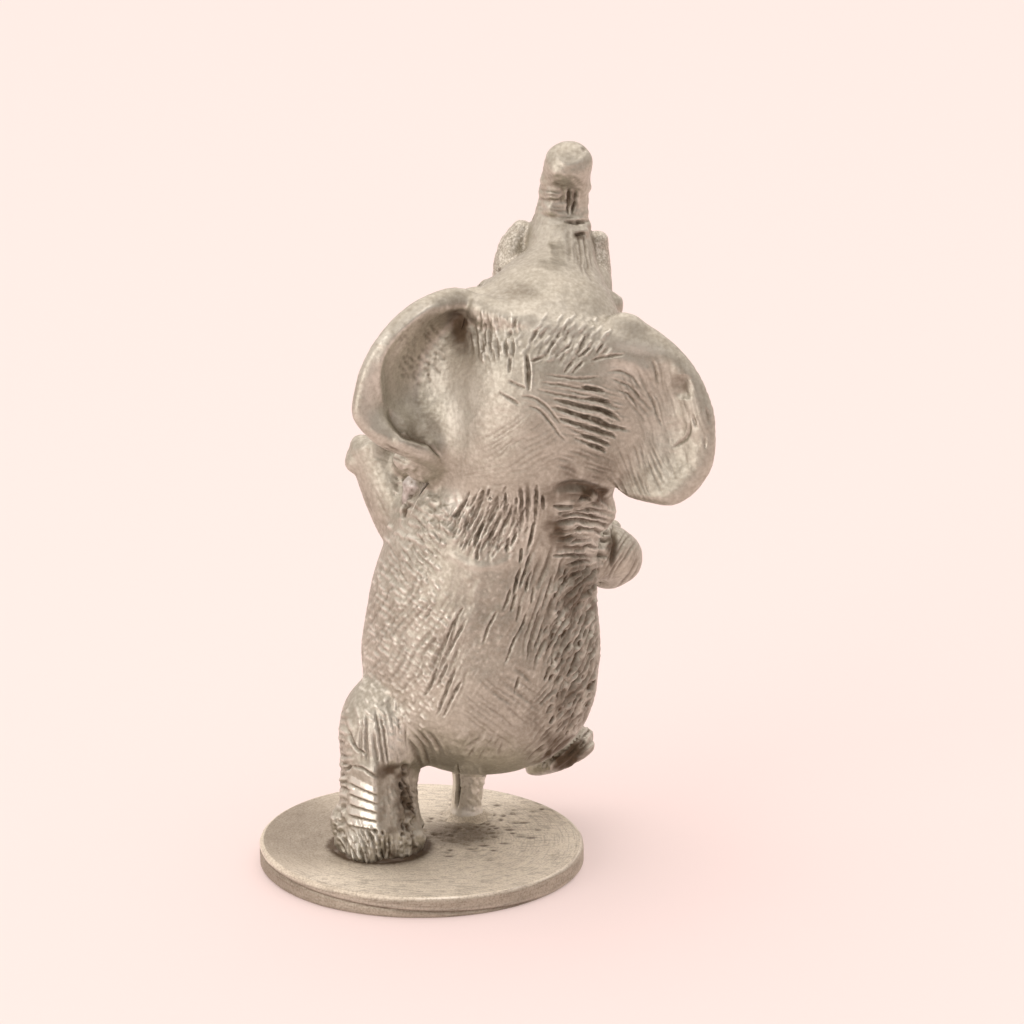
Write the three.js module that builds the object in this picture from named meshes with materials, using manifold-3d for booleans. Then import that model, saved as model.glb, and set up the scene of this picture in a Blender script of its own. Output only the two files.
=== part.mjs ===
// A cast pewter elephant that dances on its left hind leg, soldered to a round base.
// Millimetres, +Z up. The elephant faces -Y and its left is +X.
// The origin is the centre of the base's underside.
import * as THREE from "three";
import { LoftGeometry } from "three/addons/geometries/LoftGeometry.js";
import { mergeVertices } from "three/addons/utils/BufferGeometryUtils.js";
import Module from "manifold-3d";

const wasm = await Module();
wasm.setup();

// Driving dimensions

const BASE_DIAMETER = 25;
const BASE_THICKNESS = 1.7;
const BASE_LIP = 0.6; // height of the mould's parting groove on the rim
const BASE_GROOVE = 0.22;
const BASE_EDGE_RADIUS = 0.5;

const TORSO_WIDTH = 18.3;
const TORSO_DEPTH = 16.4;
const HEAD_WIDTH = 13.4;
const HEAD_DEPTH = 12.2;
const TRUNK_DIAMETER = 5.6; // at its root
const EAR_THICKNESS = 1.7;
const EAR_WIDTH = 9; // from the root line to the rim
const TUSK_DIAMETER = 2.7;
const FOREFOOT_DIAMETER = 5.4;
const HIND_FOOT_DIAMETER = 7.0;
const TAIL_DIAMETER = 2.5;

const TOE_SHARE = 0.12; // a toenail's radius as a share of the foot's diameter
const TOE_SPREAD = 0.62; // radians between neighbouring nails
const EYE_DIAMETER = 2.2; // the bulge of eye and brow together
const NOSTRIL_DIAMETER = 0.9;

const SOLDER_GAP = 0.12; // between two castings before the joint is run with solder
const PEG_CLEARANCE = 0.08;
const SOLDER_SKIN = 0.05; // between a run of solder and the castings it joins
const SOLDER_EDGE = 0.08; // thickness of a fillet where it runs out on the base

const X_AXIS = new THREE.Vector3(1, 0, 0);
const Z_AXIS = new THREE.Vector3(0, 0, 1);

// Materials

const pewter = new THREE.MeshStandardMaterial({
  color: 0xa79d8d,
  roughness: 0.42,
  metalness: 1,
});
const solderGrey = new THREE.MeshStandardMaterial({
  color: 0x77736d,
  roughness: 0.3,
  metalness: 1,
});

// Solids: a closed three.js geometry becomes a manifold for cutting and joining

function solid(geometry) {
  const bare = new THREE.BufferGeometry().copy(geometry);
  bare.deleteAttribute("normal");
  bare.deleteAttribute("uv");
  const merged = mergeVertices(bare);
  const corners = merged.index.array;
  const triVerts = [];
  for (let i = 0; i < corners.length; i += 3) {
    const [a, b, c] = corners.slice(i, i + 3);
    if (a !== b && b !== c && c !== a) triVerts.push(a, b, c);
  }
  return new wasm.Manifold(
    new wasm.Mesh({
      numProp: 3,
      vertProperties: merged.attributes.position.array,
      triVerts: new Uint32Array(triVerts),
    }),
  );
}

function piece(name, manifold, material) {
  const made = manifold.getMesh();
  const geometry = new THREE.BufferGeometry();
  geometry.setAttribute("position", new THREE.BufferAttribute(made.vertProperties, 3));
  geometry.setIndex(new THREE.BufferAttribute(made.triVerts, 1));
  geometry.computeVertexNormals();
  const mesh = new THREE.Mesh(geometry, material);
  mesh.name = name;
  return mesh;
}

// Lofts: oval sections along a smooth line of stations.
// A station is its centre x, y, z, then its full width and depth.
// The span picks the stretch of the line, by station, that one piece covers.

function loft(form, grow = 0) {
  const { stations, span = [0, stations.length - 1], sides = 16, steps = 3 } = form;
  const { domeStart = 0, domeEnd = 0, domeRings = 3, startGap = 0, swell = () => 1 } = form;
  const last = stations.length - 1;
  const centres = new THREE.CatmullRomCurve3(stations.map(([x, y, z]) => new THREE.Vector3(x, y, z)));
  const halves = new THREE.CatmullRomCurve3(
    stations.map(([, , , width, depth = width]) => new THREE.Vector3(width / 2, depth / 2, 0)),
  );
  const sections = [];
  const addSection = (station, offset, scale) => {
    const along = centres.getTangent(station / last);
    const side = X_AXIS.clone().addScaledVector(along, -along.x).normalize();
    const back = new THREE.Vector3().crossVectors(along, side);
    const centre = centres.getPoint(station / last).addScaledVector(along, offset);
    const half = halves.getPoint(station / last);
    const ring = [];
    for (let j = 0; j < sides; j++) {
      const angle = (2 * Math.PI * j) / sides;
      const fold = scale * swell(station, angle);
      const width = half.x * fold + grow * scale;
      const depth = half.y * fold + grow * scale;
      const point = centre.clone().addScaledVector(side, width * Math.cos(angle));
      ring.push(point.addScaledVector(back, depth * Math.sin(angle)));
    }
    sections.push(ring);
  };
  const addDome = (station, length, sign) => {
    for (let k = 1; k <= domeRings; k++) {
      const ring = sign < 0 ? domeRings + 1 - k : k;
      const turn = (ring / (domeRings + 0.3)) * (Math.PI / 2);
      addSection(station, sign * (length + grow) * Math.sin(turn), Math.cos(turn));
    }
  };
  const [first, final] = span;
  const count = steps * (final - first);
  if (domeStart) addDome(first, domeStart, -1);
  for (let i = 0; i <= count; i++) addSection(first + i / steps, i === 0 ? startGap : 0, 1);
  if (domeEnd) addDome(final, domeEnd, 1);
  return solid(new LoftGeometry(sections, { capStart: true, capEnd: true }));
}

// A peg cast on one piece and the clear socket for it in the other

const PEG_SIDES = 10;

function peg(from, to, radius) {
  const start = new THREE.Vector3(...from);
  const span = new THREE.Vector3(...to).sub(start);
  const geometry = new THREE.CylinderGeometry(radius, radius, span.length(), PEG_SIDES);
  geometry.rotateX(Math.PI / 2);
  const turn = new THREE.Quaternion().setFromUnitVectors(Z_AXIS, span.clone().normalize());
  geometry.applyQuaternion(turn);
  geometry.translate(...start.addScaledVector(span, 0.5));
  return solid(geometry);
}

function joint(host, guest, { from, to, radius }) {
  const reach = new THREE.Vector3(...to).sub(new THREE.Vector3(...from)).normalize();
  const deeper = new THREE.Vector3(...to).addScaledVector(reach, PEG_CLEARANCE).toArray();
  return {
    host: host.subtract(peg(from, deeper, radius + PEG_CLEARANCE)),
    guest: guest.add(peg(from, to, radius)),
  };
}

// Toes: a row of nails round the front of a foot, whose sole is the given station of its limb

function toes({ stations }, sole, forward, count) {
  const [x, y, z, width] = stations[sole];
  const [ankleX, ankleY, ankleZ] = stations[sole === 0 ? 1 : sole - 1];
  const axis = new THREE.Vector3(ankleX - x, ankleY - y, ankleZ - z).normalize();
  const ahead = new THREE.Vector3(...forward);
  ahead.addScaledVector(axis, -ahead.dot(axis)).normalize();
  const nails = [];
  for (let i = 0; i < count; i++) {
    const turned = ahead.clone().applyAxisAngle(axis, (i - (count - 1) / 2) * TOE_SPREAD);
    const nail = new THREE.SphereGeometry(TOE_SHARE * width, 7, 5);
    nail.applyQuaternion(new THREE.Quaternion().setFromUnitVectors(Z_AXIS, axis));
    const centre = new THREE.Vector3(x, y, z).addScaledVector(turned, 0.46 * width);
    nail.translate(...centre.addScaledVector(axis, 1.15 * TOE_SHARE * width));
    nails.push(solid(nail));
  }
  return wasm.Manifold.union(nails);
}

// Base disc: a cast coin with a rounded upper edge and the parting groove of its mould round the rim

function baseDisc() {
  const radius = BASE_DIAMETER / 2;
  const lipRadius = radius - BASE_GROOVE / 2;
  const edge = 4;
  const profile = [
    new THREE.Vector2(0, 0),
    new THREE.Vector2(lipRadius - BASE_GROOVE, 0),
    new THREE.Vector2(lipRadius, BASE_GROOVE),
    new THREE.Vector2(lipRadius, BASE_LIP - BASE_GROOVE),
    new THREE.Vector2(lipRadius - BASE_GROOVE, BASE_LIP),
    new THREE.Vector2(radius, BASE_LIP + BASE_GROOVE),
  ];
  for (let k = 0; k <= edge; k++) {
    const turn = (k / edge) * (Math.PI / 2);
    profile.push(
      new THREE.Vector2(
        radius - BASE_EDGE_RADIUS * (1 - Math.cos(turn)),
        BASE_THICKNESS - BASE_EDGE_RADIUS * (1 - Math.sin(turn)),
      ),
    );
  }
  profile.push(new THREE.Vector2(0, BASE_THICKNESS));
  const geometry = new THREE.LatheGeometry(profile, 56);
  geometry.rotateX(Math.PI / 2);
  return solid(geometry);
}

// Body line: the torso leans to the elephant's right, the head is thrown back so that its crown
// faces the tail, and the face runs up into the trunk, whose tip curls back over the head.
// Torso, head and trunk are spans of this one line, so their skins meet at the neck and the trunk root.

const BODY_LINE = [
  [-4.45, -2.8, 13.4, 0.98 * TORSO_WIDTH, 0.98 * TORSO_DEPTH],
  [-4.6, -2.8, 16.4, TORSO_WIDTH, TORSO_DEPTH],
  [-4.9, -2.5, 20.6, 0.95 * TORSO_WIDTH, 0.94 * TORSO_DEPTH],
  [-6.0, -1.9, 25.2, 0.86 * TORSO_WIDTH, 0.82 * TORSO_DEPTH],
  [-7.7, -1.0, 29.6, HEAD_WIDTH, 0.93 * HEAD_DEPTH],
  [-8.6, -0.3, 34.0, 1.02 * HEAD_WIDTH, 0.98 * HEAD_DEPTH],
  [-9.1, -0.9, 38.6, HEAD_WIDTH, HEAD_DEPTH],
  [-9.5, -2.8, 41.9, 0.9 * HEAD_WIDTH, 0.82 * HEAD_DEPTH],
  [-10.1, -5.4, 44.0, 0.66 * HEAD_WIDTH, 0.62 * HEAD_DEPTH],
  [-10.6, -7.4, 45.8, TRUNK_DIAMETER, 0.96 * TRUNK_DIAMETER],
  [-10.65, -9.0, 47.8, 0.82 * TRUNK_DIAMETER, 0.84 * TRUNK_DIAMETER],
  [-10.85, -9.4, 50.1, 0.67 * TRUNK_DIAMETER, 0.7 * TRUNK_DIAMETER],
  [-11.1, -8.4, 52.3, 0.66 * TRUNK_DIAMETER, 0.62 * TRUNK_DIAMETER],
  [-11.3, -6.6, 54.0, 0.64 * TRUNK_DIAMETER, 0.58 * TRUNK_DIAMETER],
];
const NECK = 4;
const TRUNK_ROOT = 9;
const TRUNK_TIP = 13;
const TRUNK_WRINKLES_PER_SPAN = 3;
const TRUNK_WRINKLE_HEIGHT = 0.035; // share of the trunk's radius

const TORSO = { stations: BODY_LINE, span: [0, NECK], sides: 24, domeStart: 6.9, domeRings: 6 };
const HEAD = { stations: BODY_LINE, span: [NECK, TRUNK_ROOT], sides: 24, startGap: SOLDER_GAP };
const TRUNK = {
  stations: BODY_LINE,
  span: [TRUNK_ROOT, TRUNK_TIP],
  sides: 14,
  steps: 10,
  startGap: SOLDER_GAP,
  // shallow rings all the way up, which fade out at the seat on the head
  swell: (station) => {
    const climbed = station - TRUNK_ROOT;
    const fade = Math.min(1, 2 * climbed);
    return 1 + TRUNK_WRINKLE_HEIGHT * fade * Math.cos(2 * Math.PI * TRUNK_WRINKLES_PER_SPAN * climbed);
  },
};

const LOWER_JAW = {
  sides: 12,
  steps: 2,
  domeStart: 1,
  domeEnd: 1.1,
  stations: [
    [-9.4, -4.2, 37.2, 5.4, 4.4],
    [-9.9, -7.4, 40.0, 4.3, 3.2],
    [-10.3, -10.2, 42.4, 2.3, 1.6],
  ],
};

// Cheeks: the sheaths from which the tusks grow

const LEFT_CHEEK = {
  sides: 10,
  steps: 2,
  domeStart: 0.8,
  domeEnd: 0.8,
  stations: [
    [-7.6, -4.6, 41.6, 3.6],
    [-7.3, -6.8, 43.0, 3.5],
    [-7.1, -8.2, 44.2, 2.9],
  ],
};
const RIGHT_CHEEK = {
  ...LEFT_CHEEK,
  stations: [
    [-12.2, -4.6, 41.4, 3.6],
    [-12.9, -6.8, 42.8, 3.5],
    [-13.2, -8.2, 43.9, 2.9],
  ],
};

// Brow: the ledge over the crown, from ear to ear, where the forehead breaks to the back of the head

const BROW_LEDGE = {
  sides: 8,
  steps: 2,
  domeStart: 0.6,
  domeEnd: 0.6,
  stations: [
    [-4.4, 0.6, 44.3, 2.2],
    [-6.5, 1.4, 43.6, 2.6],
    [-9.4, 2.0, 42.9, 2.8],
    [-12.7, 1.6, 42.1, 2.5],
  ],
};

// Eyes, under their brows at the sides of the forehead

const EYES = [
  [-5.3, -4.2, 44.1],
  [-14.3, -4.2, 43.1],
];

// Nostrils, side by side in the end of the trunk

const NOSTRILS = [
  [-10.75, -6.6, 54.05],
  [-11.85, -6.6, 54.05],
];

// Tusks

const LEFT_TUSK = {
  sides: 10,
  domeEnd: 0.8,
  stations: [
    [-7.4, -6.0, 42.0, 0.9 * TUSK_DIAMETER],
    [-6.8, -8.6, 44.2, TUSK_DIAMETER],
    [-7.1, -9.6, 46.2, 0.86 * TUSK_DIAMETER],
    [-7.7, -9.8, 47.5, 0.66 * TUSK_DIAMETER],
  ],
};
const RIGHT_TUSK = {
  ...LEFT_TUSK,
  stations: [
    [-12.7, -6.0, 42.0, 0.9 * TUSK_DIAMETER],
    [-13.2, -8.6, 44.0, TUSK_DIAMETER],
    [-13.3, -9.6, 45.7, 0.86 * TUSK_DIAMETER],
    [-13.5, -9.7, 46.7, 0.66 * TUSK_DIAMETER],
  ],
};

// Limbs: each starts inside the torso and ends in a sole

const LEFT_HIND_LEG = {
  domeEnd: 2,
  stations: [
    [3.2, 1.6, BASE_THICKNESS + SOLDER_GAP, HIND_FOOT_DIAMETER],
    [3.2, 1.6, 3.4, 0.95 * HIND_FOOT_DIAMETER],
    [3.2, 1.4, 5.6, 0.86 * HIND_FOOT_DIAMETER],
    [3.1, 0.8, 8.8, 0.88 * HIND_FOOT_DIAMETER, 0.96 * HIND_FOOT_DIAMETER],
    [2.75, -0.2, 11.3, 0.97 * HIND_FOOT_DIAMETER, 1.1 * HIND_FOOT_DIAMETER],
    [0.6, -1.8, 13.6, 0.8 * HIND_FOOT_DIAMETER, HIND_FOOT_DIAMETER],
  ],
};

const RIGHT_HIND_LEG = {
  domeStart: 1.5,
  domeEnd: 0.9,
  stations: [
    [-7.0, -4.2, 12.0, 1.1 * HIND_FOOT_DIAMETER],
    [-7.8, -8.6, 10.6, HIND_FOOT_DIAMETER],
    [-9.0, -10.0, 8.2, 0.84 * HIND_FOOT_DIAMETER],
    [-10.2, -9.8, 6.2, 0.76 * HIND_FOOT_DIAMETER],
    [-10.75, -9.4, 4.9, 0.84 * HIND_FOOT_DIAMETER],
  ],
};

const LEFT_FORELEG = {
  domeStart: 1.2,
  domeEnd: 0.8,
  stations: [
    [-2.2, -4.2, 23.8, 1.25 * FOREFOOT_DIAMETER],
    [0.4, -4.8, 26.2, 1.14 * FOREFOOT_DIAMETER],
    [1.85, -5.4, 28.4, FOREFOOT_DIAMETER],
    [2.7, -6.0, 30.2, 0.94 * FOREFOOT_DIAMETER],
    [3.2, -6.5, 31.5, FOREFOOT_DIAMETER],
  ],
};

const RIGHT_FORELEG = {
  domeStart: 1.2,
  domeEnd: 0.8,
  stations: [
    [-11.0, -4.4, 23.6, FOREFOOT_DIAMETER],
    [-13.7, -5.4, 23.0, 0.86 * FOREFOOT_DIAMETER],
    [-15.0, -6.9, 21.9, 0.75 * FOREFOOT_DIAMETER],
    [-14.4, -9.3, 20.6, 0.72 * FOREFOOT_DIAMETER],
    [-13.5, -11.6, 20.8, 0.76 * FOREFOOT_DIAMETER],
    [-12.8, -13.2, 21.9, 0.92 * FOREFOOT_DIAMETER],
  ],
};

const TAIL = {
  sides: 12,
  domeEnd: 0.6,
  stations: [
    [-3.4, -5.4, BASE_THICKNESS + SOLDER_GAP, 1.12 * TAIL_DIAMETER],
    [-3.4, -5.4, 2.7, 0.96 * TAIL_DIAMETER],
    [-3.6, -4.7, 4.8, 1.04 * TAIL_DIAMETER],
    [-3.8, -3.4, 8.2, 1.5 * TAIL_DIAMETER],
  ],
};

const SHOULDER_DROP = { centre: [-0.3, -3.0, 29.4], radii: [1.7, 1.7, 2.1] };

// Ears: a cupped sheet between a root line on the head and a free rim.
// The cup is how far the middle of the sheet is pushed forward of a flat one.

const LEFT_EAR = {
  cup: 2.6,
  root: [
    [-6.4, -0.6, 44.2],
    [-4.6, 0.0, 41.0],
    [-4.0, 0.8, 37.4],
    [-3.4, 1.8, 34.0],
  ],
  rim: [
    [-4.4, 0.4, 45.1],
    [-1.25, 1.8, 45.15],
    [2.25, 3.2, 43.0],
    [4.35, 3.8, 39.4],
    [4.65, 4.0, 36.5],
    [2.4, 4.0, 34.4],
    [-1.3, 3.0, 32.9],
  ],
};

const RIGHT_EAR = {
  cup: 0.8,
  root: [
    [-13.4, -0.6, 42.6],
    [-13.6, 0.0, 39.6],
    [-13.4, 0.6, 35.6],
    [-13.0, 1.2, 31.6],
  ],
  rim: [
    [-14.7, 0.8, 43.3],
    [-17.6, 1.6, 42.4],
    [-20.65, 2.6, 39.7],
    [-22.05, 3.4, 36.2],
    [-21.8, 3.8, 32.4],
    [-19.2, 3.8, 29.8],
    [-15.6, 2.6, 30.0],
  ],
};

const EAR_ROWS = 17;
const EAR_COLUMNS = 8;

function ear(form, facing, grow = 0) {
  const line = (points) => new THREE.CatmullRomCurve3(points.map((p) => new THREE.Vector3(...p)));
  const root = line(form.root);
  const rim = line(form.rim);
  const sheet = [];
  for (let i = 0; i <= EAR_ROWS; i++) {
    const t = i / EAR_ROWS;
    const row = [];
    for (let k = 0; k <= EAR_COLUMNS; k++) {
      const s = k / EAR_COLUMNS;
      const point = root.getPoint(t).lerp(rim.getPoint(t), k === 0 ? -grow / EAR_WIDTH : s);
      point.y -= form.cup * Math.sin(Math.PI * s) * Math.sin(Math.PI * t);
      row.push(point);
    }
    sheet.push(row);
  }
  const normalAt = (i, k) => {
    const down = sheet[Math.min(i + 1, EAR_ROWS)][k].clone().sub(sheet[Math.max(i - 1, 0)][k]);
    const out = sheet[i][Math.min(k + 1, EAR_COLUMNS)].clone().sub(sheet[i][Math.max(k - 1, 0)]);
    return new THREE.Vector3().crossVectors(down, out).multiplyScalar(facing).normalize();
  };
  const sections = sheet.map((row, i) => {
    const backs = [];
    const fronts = [];
    row.forEach((point, k) => {
      const s = k / EAR_COLUMNS;
      const t = i / EAR_ROWS;
      const half = (EAR_THICKNESS / 2 + grow) * Math.sqrt(1 - s ** 6) * Math.sqrt(1 - (2 * t - 1) ** 8);
      const normal = normalAt(i, k);
      backs.push(point.clone().addScaledVector(normal, half));
      if (k < EAR_COLUMNS) fronts.push(point.clone().addScaledVector(normal, -half));
    });
    const ring = [...backs, ...fronts.reverse()];
    return facing < 0 ? ring : ring.reverse();
  });
  return solid(new LoftGeometry(sections));
}

// Solder: a concave fillet run round a foot, lathed and then cut by the foot

function solderFillet([x, y], footRadius, reach, rise) {
  const arc = 4;
  const inner = footRadius - 0.5;
  const profile = [new THREE.Vector2(inner, 0), new THREE.Vector2(footRadius + reach, 0)];
  for (let k = 0; k <= arc; k++) {
    const turn = (k / arc) * (Math.PI / 2);
    const radius = footRadius + reach * (1 - Math.sin(turn));
    profile.push(new THREE.Vector2(radius, SOLDER_EDGE + rise * (1 - Math.cos(turn))));
  }
  profile.push(new THREE.Vector2(inner, SOLDER_EDGE + rise), new THREE.Vector2(inner, 0));
  const geometry = new THREE.LatheGeometry(profile, 24);
  geometry.rotateX(Math.PI / 2);
  geometry.translate(x, y, BASE_THICKNESS + SOLDER_SKIN);
  return solid(geometry);
}

// A drop of solder in the crook between the left foreleg and the neck

function solderDrop() {
  const drop = new THREE.SphereGeometry(1, 16, 10);
  drop.scale(...SHOULDER_DROP.radii);
  drop.translate(...SHOULDER_DROP.centre);
  return solid(drop);
}

function nostril(centre) {
  const hollow = new THREE.SphereGeometry(NOSTRIL_DIAMETER / 2, 8, 6);
  hollow.translate(...centre);
  return solid(hollow);
}

function eye(centre) {
  const ball = new THREE.SphereGeometry(EYE_DIAMETER / 2, 8, 6);
  ball.translate(...centre);
  return solid(ball);
}

// The castings, coped to the body where they meet it

const torsoGrown = loft(TORSO, SOLDER_GAP);
const cheeks = [LEFT_CHEEK, RIGHT_CHEEK];
const headGrown = wasm.Manifold.union([
  loft(HEAD, SOLDER_GAP),
  ...cheeks.map((cheek) => loft(cheek, SOLDER_GAP)),
]);
const trunkGrown = loft(TRUNK, SOLDER_GAP);
const lastStation = ({ stations }) => stations.length - 1;

const made = {
  base_disc: baseDisc(),
  torso: loft(TORSO),
  head: wasm.Manifold.union([
    loft(HEAD),
    loft(LOWER_JAW),
    loft(BROW_LEDGE),
    ...cheeks.map((cheek) => loft(cheek)),
    ...EYES.map(eye),
  ]).subtract(trunkGrown),
  trunk: wasm.Manifold.difference([loft(TRUNK), ...NOSTRILS.map(nostril)]),
  left_hind_leg: loft(LEFT_HIND_LEG).add(toes(LEFT_HIND_LEG, 0, [0, -1, 0], 4)),
  right_hind_leg: loft(RIGHT_HIND_LEG).add(
    toes(RIGHT_HIND_LEG, lastStation(RIGHT_HIND_LEG), [0, -1, 0.2], 4),
  ),
  left_foreleg: loft(LEFT_FORELEG).add(toes(LEFT_FORELEG, lastStation(LEFT_FORELEG), [0, -1, 0], 4)),
  right_foreleg: loft(RIGHT_FORELEG).add(
    toes(RIGHT_FORELEG, lastStation(RIGHT_FORELEG), [0, 0, 1], 4),
  ),
  tail: loft(TAIL),
  left_tusk: loft(LEFT_TUSK).subtract(trunkGrown),
  right_tusk: loft(RIGHT_TUSK).subtract(trunkGrown),
  left_ear: ear(LEFT_EAR, -1),
  right_ear: ear(RIGHT_EAR, 1),
};
for (const limb of ["left_hind_leg", "right_hind_leg", "left_foreleg", "right_foreleg", "tail"]) {
  made[limb] = made[limb].subtract(torsoGrown);
}
for (const tusk of ["left_tusk", "right_tusk"]) {
  made[tusk] = made[tusk].subtract(headGrown);
}
// the root of each ear is a tongue in a slot of the head
made.head = made.head
  .subtract(ear(LEFT_EAR, -1, SOLDER_GAP))
  .subtract(ear(RIGHT_EAR, 1, SOLDER_GAP));

// Each casting is located by a peg: the piece that carries it, the piece it enters, where it
// starts, where it ends, its radius

const PEGS = [
  ["torso", "head", [-7.3, -1.2, 28.2], [-8.3, -0.7, 32.6], 2.2],
  ["trunk", "head", [-10.7, -8.0, 46.5], [-10.2, -5.8, 44.4], 1.1],
  ["left_hind_leg", "base_disc", [3.2, 1.6, 2.8], [3.2, 1.6, 0.7], 1.3],
  ["left_hind_leg", "torso", [3.0, 0.4, 10.4], [0.0, -2.0, 13.4], 1.5],
  ["right_hind_leg", "torso", [-8.0, -9.4, 10.0], [-7.0, -5.6, 11.8], 1.3],
  ["left_foreleg", "torso", [1.4, -5.2, 26.8], [-2.4, -4.0, 23.4], 1.2],
  ["right_foreleg", "torso", [-14.6, -6.4, 22.3], [-11.0, -4.4, 23.6], 1.2],
  ["tail", "torso", [-3.55, -4.6, 4.4], [-3.85, -3.3, 8.6], 0.7],
  ["tail", "base_disc", [-3.42, -5.3, 2.4], [-3.4, -5.4, 0.8], 0.7],
  ["left_tusk", "head", [-6.8, -8.9, 44.6], [-7.0, -6.4, 42.4], 0.6],
  ["right_tusk", "head", [-13.4, -8.9, 44.4], [-13.2, -6.4, 42.4], 0.6],
];
for (const [guest, host, from, to, radius] of PEGS) {
  const set = joint(made[host], made[guest], { from, to, radius });
  made[host] = set.host;
  made[guest] = set.guest;
}

made.foot_solder = solderFillet(LEFT_HIND_LEG.stations[0], HIND_FOOT_DIAMETER / 2, 0.8, 0.55).subtract(
  loft({ ...LEFT_HIND_LEG, startGap: -1 }, SOLDER_SKIN).add(toes(LEFT_HIND_LEG, 0, [0, -1, 0], 4)),
);
made.tail_solder = solderFillet(TAIL.stations[0], 0.56 * TAIL_DIAMETER, 0.7, 0.5).subtract(
  loft({ ...TAIL, startGap: -1 }, SOLDER_SKIN),
);
made.shoulder_solder = solderDrop()
  .subtract(torsoGrown)
  .subtract(headGrown)
  .subtract(loft(LEFT_FORELEG, SOLDER_GAP));

const elephant = new THREE.Group();
elephant.name = "elephant_figurine";
for (const [name, manifold] of Object.entries(made)) {
  const material = name.endsWith("solder") ? solderGrey : pewter;
  elephant.add(piece(name, manifold, material.clone()));
}

export default elephant;
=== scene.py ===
"""Looks of a cast pewter elephant on a round base: sculpted skin, metal, floor, light and camera."""

import math

import bpy
import numpy as np
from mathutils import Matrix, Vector, kdtree


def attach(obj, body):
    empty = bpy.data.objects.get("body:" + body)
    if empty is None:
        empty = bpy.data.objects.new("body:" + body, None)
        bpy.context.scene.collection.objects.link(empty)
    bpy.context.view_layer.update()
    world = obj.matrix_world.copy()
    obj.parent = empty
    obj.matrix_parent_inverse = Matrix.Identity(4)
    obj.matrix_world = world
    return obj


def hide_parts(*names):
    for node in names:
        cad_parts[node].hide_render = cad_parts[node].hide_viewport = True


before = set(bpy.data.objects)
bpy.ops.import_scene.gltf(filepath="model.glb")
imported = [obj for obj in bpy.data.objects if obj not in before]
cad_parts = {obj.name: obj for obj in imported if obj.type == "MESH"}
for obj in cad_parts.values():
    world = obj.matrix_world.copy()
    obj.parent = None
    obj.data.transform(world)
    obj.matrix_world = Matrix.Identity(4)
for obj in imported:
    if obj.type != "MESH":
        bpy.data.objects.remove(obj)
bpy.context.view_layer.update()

MM = 0.001  # everything is sculpted in millimetres and scaled at the end
VOXEL = 0.18  # mm, grid that fuses the castings' skins; the sculpted skin is twice as fine

# Picture of the figurine from behind: where the photograph's camera stood, in mm

CAMERA_AT = np.array([-6.962, 400.70, 153.91])
CAMERA_AIM = np.array([-6.962, 0.0, 28.061])
CAMERA_FAR = 400  # mm, roughly
PICTURE = 1024
FOCAL = 5557.94  # in picture elements


def unit(v):
    return v / np.linalg.norm(v, axis=-1, keepdims=True)


LOOK = unit(CAMERA_AIM - CAMERA_AT)
RIGHT = np.array([-1.0, 0.0, 0.0])
UPWARD = np.cross(RIGHT, LOOK)


def picture_xy(points):
    """Where points fall in the picture: across and down from its top left corner."""
    d = points - CAMERA_AT
    depth = d @ LOOK
    return PICTURE / 2 + FOCAL * (d @ RIGHT) / depth, PICTURE / 2 - FOCAL * (d @ UPWARD) / depth


# Forms: centre x, y, z, width and depth of each oval section, the same stations as the solids

TORSO_W, TORSO_D, HEAD_W, HEAD_D = 18.3, 16.4, 13.4, 12.2
TRUNK_D, TUSK_D, FOREFOOT_D, HIND_FOOT_D, TAIL_D = 5.6, 2.7, 5.4, 7.0, 2.5
EAR_T = 1.7

BODY_LINE = [
    [-4.45, -2.8, 13.4, 0.98 * TORSO_W, 0.98 * TORSO_D],
    [-4.6, -2.8, 16.4, TORSO_W, TORSO_D],
    [-4.9, -2.5, 20.6, 0.95 * TORSO_W, 0.94 * TORSO_D],
    [-6.0, -1.9, 25.2, 0.86 * TORSO_W, 0.82 * TORSO_D],
    [-7.7, -1.0, 29.6, HEAD_W, 0.93 * HEAD_D],
    [-8.6, -0.3, 34.0, 1.02 * HEAD_W, 0.98 * HEAD_D],
    [-9.1, -0.9, 38.6, HEAD_W, HEAD_D],
    [-9.5, -2.8, 41.9, 0.9 * HEAD_W, 0.82 * HEAD_D],
    [-10.1, -5.4, 44.0, 0.66 * HEAD_W, 0.62 * HEAD_D],
    [-10.6, -7.4, 45.8, TRUNK_D, 0.96 * TRUNK_D],
    [-10.65, -9.0, 47.8, 0.82 * TRUNK_D, 0.84 * TRUNK_D],
    [-10.85, -9.4, 50.1, 0.67 * TRUNK_D, 0.7 * TRUNK_D],
    [-11.1, -8.4, 52.3, 0.66 * TRUNK_D, 0.62 * TRUNK_D],
    [-11.24, -7.1, 53.52, 0.65 * TRUNK_D, 0.6 * TRUNK_D],
]
NECK, TRUNK_ROOT, TRUNK_TIP = 4, 9, 13
LOWER_JAW = [[-9.4, -4.2, 37.2, 5.4, 4.4], [-9.9, -7.4, 40.0, 4.3, 3.2], [-10.3, -10.2, 42.4, 2.3, 1.6]]
LEFT_CHEEK = [[-7.6, -4.6, 41.6, 3.6], [-7.3, -6.8, 43.0, 3.5], [-7.1, -8.2, 44.2, 2.9]]
RIGHT_CHEEK = [[-12.2, -4.6, 41.4, 3.6], [-12.9, -6.8, 42.8, 3.5], [-13.2, -8.2, 43.9, 2.9]]
BROW_LEDGE = [
    [-4.4, 0.6, 44.3, 2.2],
    [-6.5, 1.4, 43.6, 2.6],
    [-9.4, 2.0, 42.9, 2.8],
    [-12.7, 1.6, 42.1, 2.5],
]
EYES = [[-5.3, -4.2, 44.1], [-14.3, -4.2, 43.1]]
EYE_R = 1.1
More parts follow.
